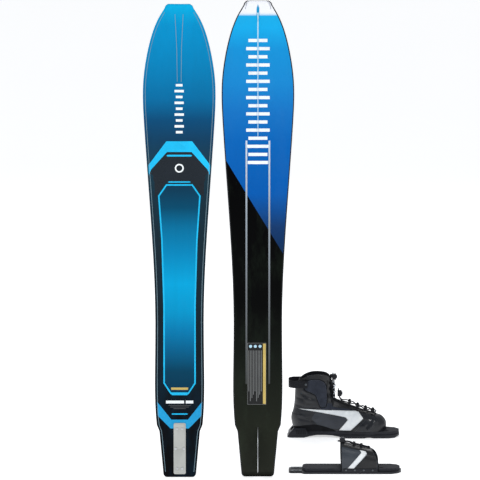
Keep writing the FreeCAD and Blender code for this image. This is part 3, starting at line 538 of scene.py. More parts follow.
def joined(name, pieces):
    """Joins inlays into one piece."""
    work = bmesh.new()
    for piece in pieces:
        work.from_mesh(piece.data)
    mesh = bpy.data.meshes.new(name)
    work.to_mesh(mesh)
    work.free()
    first = pieces[0]
    for material in first.data.materials:
        mesh.materials.append(material)
    first.data = mesh
    first.name = name
    for piece in pieces[1:]:
        bpy.data.objects.remove(piece)
    return first


# ---- the skis ------------------------------------------------------------------------------


def half_width_line():
    """Heights along the ski and the half width at each, felt from the side on the core."""
    core, top = node_tree_of("left_ski_core"), node_tree_of("left_ski_top_sheet")
    heights = np.concatenate([np.arange(0.0006, 0.02, 0.001), np.arange(0.02, SKI_LENGTH - 0.02, 0.004)])
    heights = np.concatenate([heights, SKI_LENGTH - np.arange(0.02, 0.0004, -0.001)])
    halves = []
    for z in heights:
        skin = top.ray_cast(Vector((0.033, -0.3, z)), Vector((0, 1, 0)))[0]
        hit = core.ray_cast(Vector((0.4, skin.y + 0.004, z)), Vector((-1, 0, 0)))[0]
        halves.append(hit.x)
    return heights, np.array(halves)


HEIGHTS, HALVES = half_width_line()


def half_width(z):
    return float(np.interp(z, HEIGHTS, HALVES))


def groove_depth(z, low, high, depth, run=0.03):
    """A channel's depth along the ski, running out to nothing at both ends."""
    ramp = min((z - low) / run, (high - z) / run, 1.0)
    return depth * max(0.0, ramp)


SHOULDER = 0.0075  # how far in from the edge the top starts to roll over
RAIL = 0.041  # the base rails stand this far either side of the middle
RAIL_GROOVE, TIP_GROOVE = 0.0014, 0.0012  # depths of the channels under the rails and the centre line
PROBE_OUT = 0.034  # the sheets are felt this far out, clear of every insert and rail


def ski_section(z, thick):
    """The ski's cross-section at a height: (x, depth from the top towards the base) round the ring."""
    half = half_width(z)
    drop = min(0.006, thick * 0.32)
    shoulder = min(SHOULDER, half * 0.2)
    rail = groove_depth(z, 0.318, 1.225, RAIL_GROOVE)
    tip = groove_depth(z, SKI_LENGTH - 0.492, SKI_LENGTH - 0.014, TIP_GROOVE)
    ring = [((half - shoulder) * share, 0.0) for share in (0.0, 0.25, 0.5, 0.75, 0.92)]
    for angle in (0.25, 0.6, 0.95, 1.25, 1.5):
        ring.append((half - shoulder + shoulder * math.sin(angle), drop * (1 - math.cos(angle))))
    ring += [(half, drop + (thick - drop) * 0.45), (half, thick - 0.0016), (half - 0.0012, thick - 0.0004)]
    inner = half - 0.004
    lines = [(inner, 0.0), (inner * 0.84, 0.0)]
    lines += [(RAIL + 0.0042, 0.0), (RAIL + 0.0022, rail), (RAIL - 0.0022, rail), (RAIL - 0.0042, 0.0)]
    lines += [(0.022, 0.0), (0.0030, 0.0), (0.0014, tip), (0.0, tip)]
    ring += [(min(x, inner), thick - d) for x, d in lines]
    return ring


def ski_hull(side, middle, hand, body):
    """One closed skin over the ski's core, top sheet and base sheet."""
    nodes = [f"{side}_ski_core", f"{side}_ski_top_sheet", f"{side}_ski_base_sheet"]
    top_tree, base_tree = node_tree_of(nodes[1]), node_tree_of(nodes[2])

    def depth_at(tree, z, way):
        """A sheet's Y at a height, felt towards +Y (way 1) or -Y (way -1)."""
        x = middle + min(PROBE_OUT, half_width(z) * 0.6)
        return tree.ray_cast(Vector((x, -way * RAY_START, z)), Vector((0, way, 0)))[0].y

    stations = [0.0002, 0.0015, 0.004, 0.008, 0.012, 0.016]
    stations += list(np.arange(0.03, 0.165, 0.012)) + list(np.arange(0.166, 0.205, 0.004))
    stations += list(np.arange(0.212, SKI_LENGTH - 0.02, 0.012))
    stations += [SKI_LENGTH - d for d in (0.016, 0.012, 0.008, 0.005, 0.002, 0.0002)]
    points = []
    for z in stations:
        top, base = depth_at(top_tree, z, hand), depth_at(base_tree, z, -hand)
        thick = abs(base - top)
        half_ring = ski_section(z, thick)
        ring = half_ring + [(-x, d) for x, d in reversed(half_ring[1:-1])]
        end = min(1.0, 0.55 + 0.45 * min(z, SKI_LENGTH - z) / 0.003)
        for x, d in ring:
            eased_depth = thick / 2 + (d - thick / 2) * end
            points.append((middle + x * hand, top + hand * eased_depth, z))
    ring_size = len(ring)
    faces, kinds = [], []
    top_count = 9  # faces of the half ring that take the top's paint; the side takes the next four
    half_count = (ring_size + 2) // 2
    for row in range(len(stations) - 1):
        for column in range(ring_size):
            after = (column + 1) % ring_size
            a, b = row * ring_size, (row + 1) * ring_size
            faces.append((a + column, a + after, b + after, b + column))
            place = column if column < half_count - 1 else ring_size - 1 - column
            kinds.append(0 if place < top_count else (1 if place < top_count + 4 else 2))
    faces.append(tuple(range(ring_size)))
    faces.append(tuple(reversed(range((len(stations) - 1) * ring_size, len(stations) * ring_size))))
    kinds += [1, 1]
    mesh = mesh_from(f"{side}_ski_skin", points, faces)
    for material in (TOP_PAINT, CORE, ski_base_paint(f"{side}_base_paint", middle)):
        mesh.materials.append(material)
    for face, kind in zip(mesh.polygons, kinds):
        face.material_index = kind
    piece = add_piece(f"{side}_ski_skin", outward(mesh), None, body)
    sharp_shaded(piece, 50)
    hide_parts(*nodes)
    return piece


def up(below_tip):
    """The height of a distance measured down from just above the tip."""
    return SKI_LENGTH + 0.008 - below_tip


def down(points):
    """(x, distance down) points as (x, z) points."""
    return [(x, up(depth)) for x, depth in points]


def mirrored(points):
    return points + [(-x, z) for x, z in reversed(points)]


def oblong(low, high, depth, tall):
    return down([(low, depth), (high, depth), (high, depth + tall), (low, depth + tall)])


def round_outline(x, z, radius, count):
    angles = np.linspace(0, 2 * math.pi, count + 1)[:-1]
    return [(x + radius * math.cos(a), z + radius * math.sin(a)) for a in angles]


def edge(z):
    """Where the flat of the top ends at a height."""
    return half_width(z) - SHOULDER + 0.0006


PANEL_RIM = [(0.046, 0.668), (0.0735, 0.708), (0.0625, 0.868), (0.0555, 1.108), (0.0555, 1.392), (0.031, 1.430)]
ARCH = [(0.046, 0.509), (0.110, 0.595), (0.1085, 0.634), (0.101, 0.612), (0.044, 0.548)]
ARCH_SHADE = [(0.044, 0.548), (0.101, 0.612), (0.1085, 0.634), (0.107, 0.74), (0.0760, 0.700), (0.048, 0.660)]
# the path of the painted highlight of each of the tip's two ridges
TIP_RIDGE_HIGHLIGHT = [(0.0145, 0.045), (0.0085, 0.17), (0.0070, 0.292)]
CENTRE_LINE = [(-0.0014, 0.485), (0.0, 0.505), (0.0014, 0.485), (0.0022, 0.10), (0.0026, 0.05), (-0.0026, 0.05)]
CENTRE_LINE += [(-0.0022, 0.10)]
TIP_SPEAR = [(0.0, 0.020), (0.0046, 0.034), (0.0050, 0.060), (0.0026, 0.082), (0.0, 0.092)]
CAPTION_BARS = (  # left, right, distance down, height, material
    (-0.049, 0.016, 1.456, 0.0105, WHITE_PRINT),
    (0.022, 0.049, 1.456, 0.0105, WHITE_PRINT),
    (-0.040, 0.040, 1.4725, 0.0022, GREY_PRINT),
    (-0.034, 0.034, 1.4785, 0.0022, GREY_PRINT),
    (-0.022, 0.022, 1.4845, 0.0022, GREY_PRINT),
)


def ski_inlays(side, middle, hand, skin, body):
    """The printed shapes. hand is 1 where the top faces -Y and -1 where it faces +Y."""
    tree = tree_of(skin)
    face, back = -hand, hand

    def put(name, outline, material, where=face, lift=0.00012, step=0.02):
        moved = [(middle + x * hand, z) for x, z in outline]
        return inlay(f"{side}_{name}", moved, tree, where, material, body, lift, 0.0002, step)

    def put_all(name, outlines, material, where=face, lift=0.00012, step=0.02):
        """Several outlines as one piece."""
        made = []
        for number, outline in enumerate(outlines):
            made.append(put(f"{name}_{number}", outline, material, where, lift, step))
        joined(f"{side}_{name}", made)

    # the inner panel, its bright outline and the bars at its foot
    rim = mirrored(down(PANEL_RIM))
    put("panel", rim, PANEL_PAINT, lift=0.00008)
    put_all("panel_rim", stroke(rim, 0.0052, True), CYAN, lift=0.0002)
    put("panel_foot", mirrored(down([(0.031, 1.426), (0.028, 1.436)])), CYAN, lift=0.0003)
    put("panel_bar", mirrored(down([(0.031, 1.408), (0.030, 1.4165)])), GOLD, lift=0.0003)

    # the arch above the panel
    put("arch", mirrored(down(ARCH)), CYAN)
    put("arch_shade", mirrored(down(ARCH_SHADE)), NAVY, lift=0.00005)
    bars = []
    for depth, wide, tall in ((0.558, 0.046, 0.0065), (0.655, 0.041, 0.0045), (1.503, 0.030, 0.0045)):
        inner = wide - 0.004
        bars.append(mirrored(down([(inner, depth), (wide, depth + tall / 2), (inner, depth + tall)])))
    put_all("bars", bars, CYAN, lift=0.0003)

    # a plain ring between the bars, and plain dashes and bars where names would stand
    put_all("ring", stroke(round_outline(0, up(0.607), 0.0135, 24), 0.005, True), WHITE_PRINT, lift=0.0003)
    widths = [(0.0165 if number % 2 else 0.012, 0.300 + number * 0.0214) for number in range(9)]
    put_all("dashes", [oblong(-wide, wide, depth, 0.009) for wide, depth in widths], WHITE_PRINT)
    for number, (low, high, depth, tall, material) in enumerate(CAPTION_BARS):
        put(f"caption_bar_{number}", oblong(low, high, depth, tall), material, lift=0.0002)

    # the chevron round the head of the fin plate
    right = [(0.030, 0.212), (edge(0.278), 0.278), (edge(0.227), 0.227), (0.033, 0.1795)]
    put("tail_vee", mirrored(right), CYAN_TAIL, lift=0.00005, step=0.006)

    # painted highlights: lines along both edges' bevels, and the two fine lines of the tip's ridges
    lines = []
    for sign in (-1, 1):
        heights = np.linspace(0.02, SKI_LENGTH - 0.03, 90)
        path = [(sign * (half_width(z) - SHOULDER - 0.001), z) for z in heights]
        lines.append(put(f"edge_{sign + 1}", stroke(path, 0.0016)[0], EDGE_HIGHLIGHT, lift=0.0002, step=0.05))
        path = [(sign * x, z) for x, z in down(TIP_RIDGE_HIGHLIGHT)]
        lines.append(put(f"tip_line_{sign + 1}", stroke(path, 0.0016)[0], EDGE_HIGHLIGHT, lift=0.0002))
    joined(f"{side}_edge_highlights", lines)

    # the base: a centre line, painted highlights along the rails, dashes and a plain label
    put("centre_line", down(CENTRE_LINE), SILVER, back, 0.0002, 0.01)
    spear = down(TIP_SPEAR)
    put("tip_spear", spear + [(-x, z) for x, z in reversed(spear[1:-1])], CYAN_DEEP, back, 0.0003, 0.004)
    # the bands along the rails are painted highlights of the groove edges
    rails = [stroke(down([(sign * RAIL, 0.508), (sign * RAIL, 1.395)]), 0.0064)[0] for sign in (-1, 1)]
    put_all("rails", rails, RAIL_HIGHLIGHT, back, 0.0002, 0.008)
    widths = [(0.042 if number % 2 else 0.034, 0.143 + number * 0.0292) for number in range(16)]
    marks = [oblong(-wide, wide, depth, 0.0115) for wide, depth in widths]
    put_all("marks", marks, WHITE_PRINT, back, 0.0003, 0.0035)
    label = oblong(-0.029, 0.037, 1.245, 0.225)
    put("label", label, LABEL, back, 0.0002)
    put("label_stripe", oblong(-0.0285, -0.0185, 1.247, 0.221), GOLD, back, 0.0004)
    put_all("label_line", stroke(label, 0.001, True), GREY_LINE, back, 0.0003)
    dots = [round_outline(-0.008 + number * 0.017, up(1.257), 0.0055, 16) for number in range(3)]
    put_all("dots", dots, SILVER, back, 0.0004)
    rules = []
    for number in range(9):
        x, tall = -0.0135 + number * 0.0056, 0.150 + 0.012 * ((number * 5) % 4)
        rules.append(oblong(x, x + 0.0022, 1.272, tall))
    put_all("rules", rules, GREY_LINE, back, 0.0004, 0.05)


def dress(node, material):
    """A better material on a CAD piece that keeps its own shape."""
    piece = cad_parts[node]
    if not piece.material_slots:
        piece.data.materials.append(material)
    for slot in piece.material_slots:
        slot.material = material


def make_skis():
    for side, middle, hand in (("left", 0.0, 1), ("right", SKI_GAP, -1)):
        body = f"{side}_ski"
        skin = ski_hull(side, middle, hand, body)
        ski_inlays(side, middle, hand, skin, body)
        dress(f"{side}_ski_binding_inserts", INSERT)
        dress(f"{side}_ski_fin_box", FIN_BOX)
        eased(f"{side}_ski_fin_plate", body, COVER, 0.0007)
        eased(f"{side}_ski_fin_screws", body, STEEL, 0.0006)
        eased(f"{side}_ski_fin", f"{side}_fin", FIN, 0.0005, 2)


make_skis()


# ---- the boot binding ----------------------------------------------------------------------

SOLE = 24.0  # the height the upper stands at
COLLAR_FROM, COLLAR_TOP = 200, 236  # levels between which the skin bends to follow the collar


def boot_at(x, y, z):
    return Vector((BOOT_X + x * MM, BOOT_Y + y * MM, z * MM))


def line_through(points, steps=12):
    """Points on a smooth curve through points."""
    spots = [Vector(p) for p in points]
    spots = [spots[0] * 2 - spots[1]] + spots + [spots[-1] * 2 - spots[-2]]
    path = []
    for a, b, c, d in zip(spots, spots[1:], spots[2:], spots[3:]):
        for number in range(steps):
            t = number / steps
            curve = (2 * a - 5 * b + 4 * c - d) * t * t + (3 * b - a - 3 * c + d) * t ** 3
            path.append(0.5 * (2 * b + (c - a) * t + curve))
    return path + [spots[-2]]


def table_of(points, by, value):
    """A smooth curve as a table that gives one coordinate by another."""
    rows = sorted((p[by], p[value]) for p in line_through(points))
    return np.array([r[0] for r in rows]), np.array([r[1] for r in rows])


# the boot's side view, (x, z), and its plan, (x, half width), in its own millimetres
BACK = table_of([(25, 24), (16, 62), (17, 82), (23, 106), (27, 135), (29, 176), (37, 200), (43, 216)], 1, 0)
VAMP = [(218, 123), (257, 106.5), (283, 97), (328, 84), (351, 71.5), (363.5, 50), (363, 24)]
FRONT = table_of([(161, 216), (162, 190), (164, 162), (168, 147), (184, 136)] + VAMP, 1, 0)
COLLAR = table_of([(38, 209), (43, 213), (70, 228.5), (98, 235.5), (132, 234.5), (151, 229), (161, 216)], 0, 1)
PLAN = table_of([(15, 26), (44, 35), (100, 36), (165, 38), (230, 46), (285, 51), (325, 47), (352, 34), (367, 24)], 0, 1)
CREASES = (  # start, end, half width, height
    ((60, 174), (100, 156), 4.4, 4.6),
    ((56, 163), (92, 146), 5.0, -2.4),
    ((64, 143), (100, 134), 6.0, 2.0),
    ((48, 82), (112, 70), 4.4, 4.2),
    ((44, 72), (106, 60), 5.0, -2.2),
    ((20, 124), (66, 115), 6.0, -1.8),
    ((30, 108), (110, 113), 5.0, -1.2),
    ((150, 120), (205, 112), 8.0, -1.6),
    ((24, 152), (58, 144), 5.0, -1.6),
    ((30, 96), (40, 40), 12.0, 1.2),
    ((322, 66), (297, 31), 4.0, 3.6),
    ((312, 64), (288, 34), 6.0, -1.6),
    ((224, 88), (258, 60), 8.0, -1.0),
)


def table_at(table, value):
    return float(np.interp(value, *table))


def segment_distance(x, z, start, end):
    ax, az = end[0] - start[0], end[1] - start[1]
    t = max(0.0, min(1.0, ((x - start[0]) * ax + (z - start[1]) * az) / (ax * ax + az * az)))
    return math.hypot(x - start[0] - ax * t, z - start[1] - az * t), t


def crease(x, z):
    total = 0.0
    for start, end, wide, tall in CREASES:
        away, t = segment_distance(x, z, start, end)
        total += tall * math.exp(-(away / wide) ** 2) * (0.35 + 0.65 * math.sin(math.pi * (0.1 + 0.8 * t)))
    return total


def in_scene(left, outline):
    """A binding's (x, z) outline in millimetres, moved to its place."""
    return [(left + x * MM, z * MM) for x, z in outline]


def blend_step(low, high, value):
    """0 below low, 1 above high, and a smooth rise between them."""
    t = max(0.0, min(1.0, (value - low) / (high - low)))
    return t * t * (3 - 2 * t)


def boot_skin(level, turn, inset=0.0):
    """A point on the boot's skin, in the boot's own millimetres.

    level is a height; over 200 it bends to follow the collar, which it meets at 236.
    turn runs from -1 at the front, down the near side, past 0 at the heel, to 1 at the front.
    """
    flat = min(level, COLLAR_FROM)
    rise = max(0.0, (level - COLLAR_FROM) / (COLLAR_TOP - COLLAR_FROM))
    nominal = flat + rise * 14
    back = table_at(BACK, nominal) + inset
    front = table_at(FRONT, nominal) - inset
    share = (1 - math.cos(math.pi * abs(turn))) / 2
    x = back + (front - back) * share
    z = flat + rise * (table_at(COLLAR, x) - COLLAR_FROM)
    foot_cap = 1.0
    if x > 150:
        spine = max(25.0, float(np.interp(x, FRONT[1][::-1], FRONT[0][::-1])))
        tall = min(1.0, max(0.0, (flat - SOLE) / max(1.0, spine - SOLE)))
        foot_cap = (1 - tall ** 3.2) ** 0.55
    middle = (back + front) / 2
    cuff_cap = (1 - min(1.0, abs((x - middle) / ((front - back) / 2))) ** 2.7) ** 0.5
    heel_run, nose_run = 34.0, 26.0
    heel = math.sqrt(max(0.0, 1 - max(0.0, 1 - (x - back) / heel_run) ** 2))
    nose = math.sqrt(max(0.0, 1 - max(0.0, 1 - (front - x) / nose_run) ** 2))
    blend = blend_step(120, 172, flat)
    foot = table_at(PLAN, x) * foot_cap * heel
    low = 1 - blend_step(24, 60, flat)
    foot *= 1 - (1 - nose) * max(low, 0.0)
    foot *= 1 - 0.06 * blend_step(60, 130, flat)
    cuff = (34.5 + 2.5 * blend_step(150, 215, nominal)) * cuff_cap
    wide = foot * (1 - blend) + cuff * blend
    wide += crease(x, z) * min(1.0, wide / 14)
    wide = max(0.0, wide - inset * min(1.0, wide / max(inset, 1.0)))
    return np.array([x, math.copysign(wide, turn) if turn else 0.0, z])


def boot_lifted(level, turn, lift):
    """A point on the skin moved straight out of it."""
    spot = boot_skin(level, turn)
    if not lift:
        return spot
    step = 0.012
    along = boot_skin(level, min(1.0, turn + step)) - boot_skin(level, max(-1.0, turn - step))
    up = boot_skin(level + 1.2, turn) - boot_skin(level - 1.2, turn)
    normal = np.cross(along, up)
    size = np.linalg.norm(normal)
    if size < 1e-6:
        return spot
    return spot + normal / size * lift


def grid_piece(name, rows, material, body, closed=False, thick=0.0, offset=-1.0):
    """A surface through rows of points, closed round if asked, with a thickness if one is given."""
    wide = len(rows[0])
    faces = []
    for r in range(len(rows) - 1):
        for c in range(wide if closed else wide - 1):
            after = (c + 1) % wide
            faces.append((r * wide + c, r * wide + after, (r + 1) * wide + after, (r + 1) * wide + c))
    mesh = mesh_from(name, [p for row in rows for p in row], faces)
    with edited(mesh) as work:
        bmesh.ops.remove_doubles(work, verts=work.verts, dist=2e-5)
        bmesh.ops.recalc_face_normals(work, faces=work.faces)
    piece = add_piece(name, mesh, material, body)
    if thick:
        thickened(piece, thick, offset)
        outward(piece.data)
    return piece


def turns_over(count, reach=1.0):
    """Even turns round a skin, from -reach to reach."""
    return [reach * (2 * i / count - 1) for i in range(count + 1)]


def boot_row(level, turns, lift=0.0):
    """A row of points round the skin at a level, raised off it."""
    return [boot_at(*boot_lifted(level, turn, lift)) for turn in turns]


def boot_levels():
    """The upper's rows, closest together over the vamp."""
    levels = list(np.arange(24, 60, 3)) + list(np.arange(60, 150, 1.5)) + list(np.arange(150, 200, 3))
    return levels + list(np.linspace(COLLAR_FROM, COLLAR_TOP, 12))


def in_outline(x, z, outline):
    inside = False
    for (ax, az), (bx, bz) in zip(outline, outline[1:] + outline[:1]):
        if (az > z) != (bz > z) and x < (bx - ax) * (z - az) / (bz - az) + ax:
            inside = not inside
    return inside


# the opening for the tongue: its outline in the side view and its half width
THROAT = [(140, 150), (140, 260), (178, 260), (332, 98), (322, 60), (250, 84), (200, 104)]
THROAT_HALF = 15.5


def boot_upper():
    """The stitched upper, open at the collar and down the throat."""
    rows = [boot_row(level, turns_over(150)) for level in boot_levels()]
    piece = grid_piece("boot_upper", rows, UPPER, "boot_binding")
    with edited(piece.data) as work:
        for side in (-1, 1):
            every = work.verts[:] + work.edges[:] + work.faces[:]
            spot = (0, BOOT_Y + side * THROAT_HALF * MM, 0)
            bmesh.ops.bisect_plane(work, geom=every, plane_co=spot, plane_no=(0, 1, 0), dist=1e-6)
        gone = []
        for face in work.faces:
            middle = face.calc_center_median()
            x, y, z = (middle.x - BOOT_X) / MM, (middle.y - BOOT_Y) / MM, middle.z / MM
            if abs(y) < THROAT_HALF and in_outline(x, z, THROAT):
                gone.append(face)
        bmesh.ops.delete(work, geom=gone, context="FACES")
        bmesh.ops.delete(work, geom=[v for v in work.verts if not v.link_faces], context="VERTS")
    thickened(piece, 0.0026, -1.0)
    sharp_shaded(piece, 50)
    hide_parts("boot_shell")
    return piece


def throat_line(count):
    """Points down the front of the cuff and along the vamp, each with its outward direction."""
    cuff = [(162, 214), (163, 190), (165, 165), (170, 146), (186, 135)]
    path = line_through(cuff + [(218, 122), (257, 106.5), (283, 97), (326, 84.6)], 8)
    lengths = [0.0]
    for a, b in zip(path, path[1:]):
        lengths.append(lengths[-1] + (b - a).length)
    found = []
    for number in range(count + 1):
        reach = lengths[-1] * number / count
        x = float(np.interp(reach, lengths, [p[0] for p in path]))
        z = float(np.interp(reach, lengths, [p[1] for p in path]))
        found.append((x, z, reach))
    result = []
    for number, (x, z, reach) in enumerate(found):
        a, b = found[max(0, number - 2)], found[min(count, number + 2)]
        along = Vector((b[0] - a[0], b[1] - a[1])).normalized()
        result.append((x, z, Vector((-along.y, along.x)), reach))
    return result


def draped(x, z, out, y, tree, lift):
    """The point of the skin under a spot beside the throat line, raised off it."""
    away = 60
    start = boot_at(x + out[0] * away, y, z + out[1] * away)
    direction = Vector((-out[0], 0, -out[1]))
    hit, normal, _, _ = tree.ray_cast(start, direction)
    if hit is None:
        return None
    if normal.dot(direction) > 0:
        normal = -normal
    return hit + normal * lift * MM


def boot_front(tree):
    """Eyestays either side of the throat, and the tongue under the laces."""
    line = throat_line(90)
    for side, name in ((-1, "near"), (1, "far")):
        rows = []
        for x, z, out, reach in line:
            rows.append([draped(x, z, out, side * y, tree, 0.3) for y in (16, 17, 19, 21.5, 24, 25.6, 26.6)])
        rows = [row for row in rows if all(p is not None for p in row)]
        stay_name = f"boot_eyestay_{name}"
        stay = grid_piece(stay_name, rows, UPPER_DARK, "boot_binding", False, 0.0019, 1.0)
        sharp_shaded(stay, 60)
    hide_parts("boot_eyestays")
    rows = []
    for number in range(-8, 91):
        x, z, out, reach = line[max(0, number)]
        extra = max(0, -number) * 1.9
        ribs = 0.9 * math.cos(reach / 5.2) if number > 4 else 0
        crown = [-17.5 + 35 * c / 14 for c in range(15)]
        row = []
        for y in crown:
            bulge = 3.2 * math.cos(y / 17.5 * 1.35) - 5.4 + ribs * math.cos(y / 17.5 * 1.4)
            bulge += 9.5 * math.exp(-((z - 170) / 23) ** 2) * max(0.0, math.cos(y / 17.5 * 1.5))
            row.append(boot_at(x + out[0] * bulge + extra * 0.25, y, z + out[1] * bulge + extra))
        rows.append(row)
    tongue = grid_piece("boot_tongue_pad", rows, LINER, "boot_binding", False, 0.006, 0.0)
    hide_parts("boot_tongue")


def boot_collar():
    """The padded roll round the leg opening, and the lining below it."""
    rows, reach = [], 0.86
    profile = []
    for angle in np.linspace(0, 2 * math.pi, 19)[:-1]:
        across, along = math.cos(angle), math.sin(angle)
        across, along = (math.copysign(abs(part) ** 0.8, part) for part in (across, along))
        profile.append((4.6 * across, 7.2 * along))
    for turn in turns_over(96, reach):
        x, y, z = boot_skin(COLLAR_TOP, turn)
        inward = boot_skin(COLLAR_TOP, turn, 8) - boot_skin(COLLAR_TOP, turn)
        inward[2] = 0
        size = max(1e-6, np.linalg.norm(inward))
        out = Vector(-inward / size)
        fade = 0.86 + 0.14 * math.cos(math.pi * turn / reach)
        spot, rise = boot_at(x, y, z - 6.2) - out * 3.4 * MM, Vector((0, 0, 1)) * fade
        rows.append([spot + out * fade * a * MM + rise * b * MM for a, b in profile])
    roll = grid_piece("boot_collar", rows, PIPING, "boot_binding", closed=True)
    with edited(roll.data) as work:
        bmesh.ops.holes_fill(work, edges=[e for e in work.edges if e.is_boundary])
        bmesh.ops.recalc_face_normals(work, faces=work.faces)
    rows = [boot_row(level, turns_over(96, 0.88), 0.25) for level in np.linspace(209, COLLAR_TOP, 12)]
    grid_piece("boot_collar_band", rows, UPPER_DARK, "boot_binding", False, 0.0009, 1.0)
    rows = []
    for level in list(np.arange(27, 200, 6)) + [200, 212, 224, 232]:
        rows.append([boot_at(*boot_skin(level, turn, 6.5)) for turn in turns_over(80)])
    lining = grid_piece("boot_lining", rows, LINER, "boot_binding", False, 0.002, 0.0)
    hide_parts("boot_liner")


# outlines of the shapes sewn to the boot's sides, and of the painted shade under the upper, (x, z)
# painted shade: a black band where the upper's arched lower edge shades the chassis
MIDSOLE_SHADE = [(23, 24), (22, 40), (60, 46), (98, 50), (120, 47), (150, 38), (172, 30), (180, 24)]
SIDE_PANEL = [(104, 94), (120, 93), (212, 75), (220, 68), (190, 33), (122, 36), (88, 72)]
STRIPE = [(42, 108), (120, 104), (259, 98), (279, 73), (233, 29), (191, 29), (223, 68), (214, 77), (120, 95)]
ANKLE = [(62, 178), (62, 200), (70, 212), (88, 219), (116, 219), (134, 211), (143, 197)]
ANKLE += [(146, 174), (147, 137), (142, 113), (122, 111), (116, 123), (108, 146), (103, 158)]
FOREFOOT = [(268, 95), (288, 90), (320, 79), (331, 69), (304, 25), (246, 25), (284, 70)]
VAMP_PANEL = [(122, 112), (150, 130), (176, 126), (214, 112), (246, 102.5), (256, 99.5), (122, 105.5)]


def rounded(outline, radius, steps=5):
    """An outline with its corners rounded off."""
    spots = [Vector(p) for p in outline]
    result = []
    for number, here in enumerate(spots):
        before, after = spots[number - 1], spots[(number + 1) % len(spots)]
        a, b = (before - here), (after - here)
        run = min(radius, a.length * 0.45, b.length * 0.45)
        start, end = here + a.normalized() * run, here + b.normalized() * run
        for step in range(steps + 1):
            t = step / steps
            result.append(tuple(start * (1 - t) ** 2 + here * 2 * t * (1 - t) + end * t * t))
    return result


def inset_outline(outline, gap):
    """An outline moved inwards by a gap."""
    spots = [Vector(p) for p in outline]
    area = sum(a[0] * b[1] - b[0] * a[1] for a, b in zip(spots, spots[1:] + spots[:1]))
    turn = 1 if area > 0 else -1
    result = []
    for number, here in enumerate(spots):
        before, after = spots[number - 1], spots[(number + 1) % len(spots)]
        a, b = (here - before).normalized(), (after - here).normalized()
        na, nb = Vector((-a.y, a.x)) * turn, Vector((-b.y, b.x)) * turn
        away = (na + nb).normalized()
        result.append(tuple(here + away * gap / max(0.5, away.dot(na))))
    return result


STITCH = 3.4  # millimetres from one stitch to the next
THREAD_SIDES = 6


def stitches(name, outline, to_world, tree, hand, body, closed=True, material=THREAD):
    """Raised thread stitches along an outline in the side view."""
    spots = [Vector(p) for p in outline]
    if closed:
        spots.append(spots[0])
    lengths = [0.0]
    for a, b in zip(spots, spots[1:]):
        lengths.append(lengths[-1] + (b - a).length)
    count = int(lengths[-1] / STITCH)
    xs, zs = [p[0] for p in spots], [p[1] for p in spots]
    points, faces = [], []
    for number in range(count):
        ends = []
        for reach in ((number + 0.18) * STITCH, (number + 0.82) * STITCH):
            flat = to_world(float(np.interp(reach, lengths, xs)), 0, float(np.interp(reach, lengths, zs)))
            start = Vector((flat.x, flat.y + hand * RAY_START, flat.z))
            hit, normal, _, _ = tree.ray_cast(start, Vector((0, -hand, 0)))
            if hit is not None and abs(normal.y) > 0.25:
                ends.append((hit, normal if normal.y * hand > 0 else -normal))
        if len(ends) < 2:
            continue
        (a, na), (b, nb) = ends
        along, out = (b - a).normalized(), (na + nb).normalized()
        side = along.cross(out).normalized()
        base = len(points)
        for t, wide, tall in ((0.0, 0.10, 0.0), (0.22, 0.36, 0.30), (0.78, 0.36, 0.30), (1.0, 0.10, 0.0)):
            spot = a.lerp(b, t)
            for turn in range(THREAD_SIDES):
                angle = math.pi * 2 * turn / THREAD_SIDES
                offset = side * math.cos(angle) * wide + out * (math.sin(angle) * wide * 0.8 + tall)
                points.append(spot + offset * MM)
        for ring in range(3):
            for turn in range(THREAD_SIDES):
                after = (turn + 1) % THREAD_SIDES
                first = base + ring * THREAD_SIDES
                next_ring = first + THREAD_SIDES
                faces.append((first + turn, first + after, next_ring + after, next_ring + turn))
        faces.append(tuple(base + turn for turn in reversed(range(THREAD_SIDES))))
        faces.append(tuple(base + 3 * THREAD_SIDES + turn for turn in range(THREAD_SIDES)))
    return add_piece(name, outward(mesh_from(name, points, faces)), material, body)


def boot_sides(tree):
    """Stripe, panels and seams, the same on both sides."""
    body = "boot_binding"

    def both(name, outline, material, lift, thick, node=None):
        made = []
        for hand, word in ((-1, "near"), (1, "far")):
            flat = in_scene(BOOT_X, outline)
            made.append(inlay(f"{name}_{word}", flat, tree, hand, material, body, lift, thick, 0.004))
        if node:
            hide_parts(node)
        return made

    stripe = rounded(STRIPE, 2.0, 3)
    stripes = both("boot_stripe", stripe, WHITE, 0.0006, 0.0012, "boot_side_stripes")
    ankle = rounded(ANKLE, 7, 4)
    ankles = both("boot_ankle_panel", ankle, PANEL, 0.0005, 0.0014, "boot_ankle_panels")
    forefoot = rounded(FOREFOOT, 3, 4)
    forefeet = both("boot_forefoot", forefoot, GLOSS, 0.0011, 0.0022, "boot_forefoot_overlays")
    both("boot_side_panel", rounded(SIDE_PANEL, 6, 4), UPPER_SIDE, 0.0003, 0.0006)
    # painted shade under the upper's arched lower edge, as a black band
    both("boot_midsole_shade", rounded(MIDSOLE_SHADE, 8, 4), PIPING, 0.0008, 0.0016)
    both("boot_vamp_panel", rounded(VAMP_PANEL, 5, 4), PANEL, 0.0004, 0.0008)
    seam = [tuple(p) for p in line_through([(30, 108), (70, 118), (104, 116), (122, 106)], 8)]
    for number, (hand, word) in enumerate(((-1, "near"), (1, "far"))):
        strips = []
        for i, strip in enumerate(stroke(ankle, 2.0, True)):
            name, flat = f"boot_piping_{word}_{i}", in_scene(BOOT_X, strip)
            strips.append(inlay(name, flat, tree, hand, PIPING, body, 0.0013, 0.0016, 0.01))
        joined(f"boot_piping_{word}", strips)
        for name, outline, gap, under, thread in (
            ("stripe", stripe, 2.2, stripes, THREAD_PALE),
            ("ankle", ankle, 3.4, ankles, THREAD),
            ("forefoot", forefoot, 2.6, forefeet, THREAD),
        ):
            line, ground = inset_outline(outline, gap), tree_of(under[number])
            stitches(f"boot_stitch_{name}_{word}", line, boot_at, ground, hand, body, material=thread)
        stitches(f"boot_stitch_seam_{word}", seam, boot_at, tree, hand, body, closed=False)


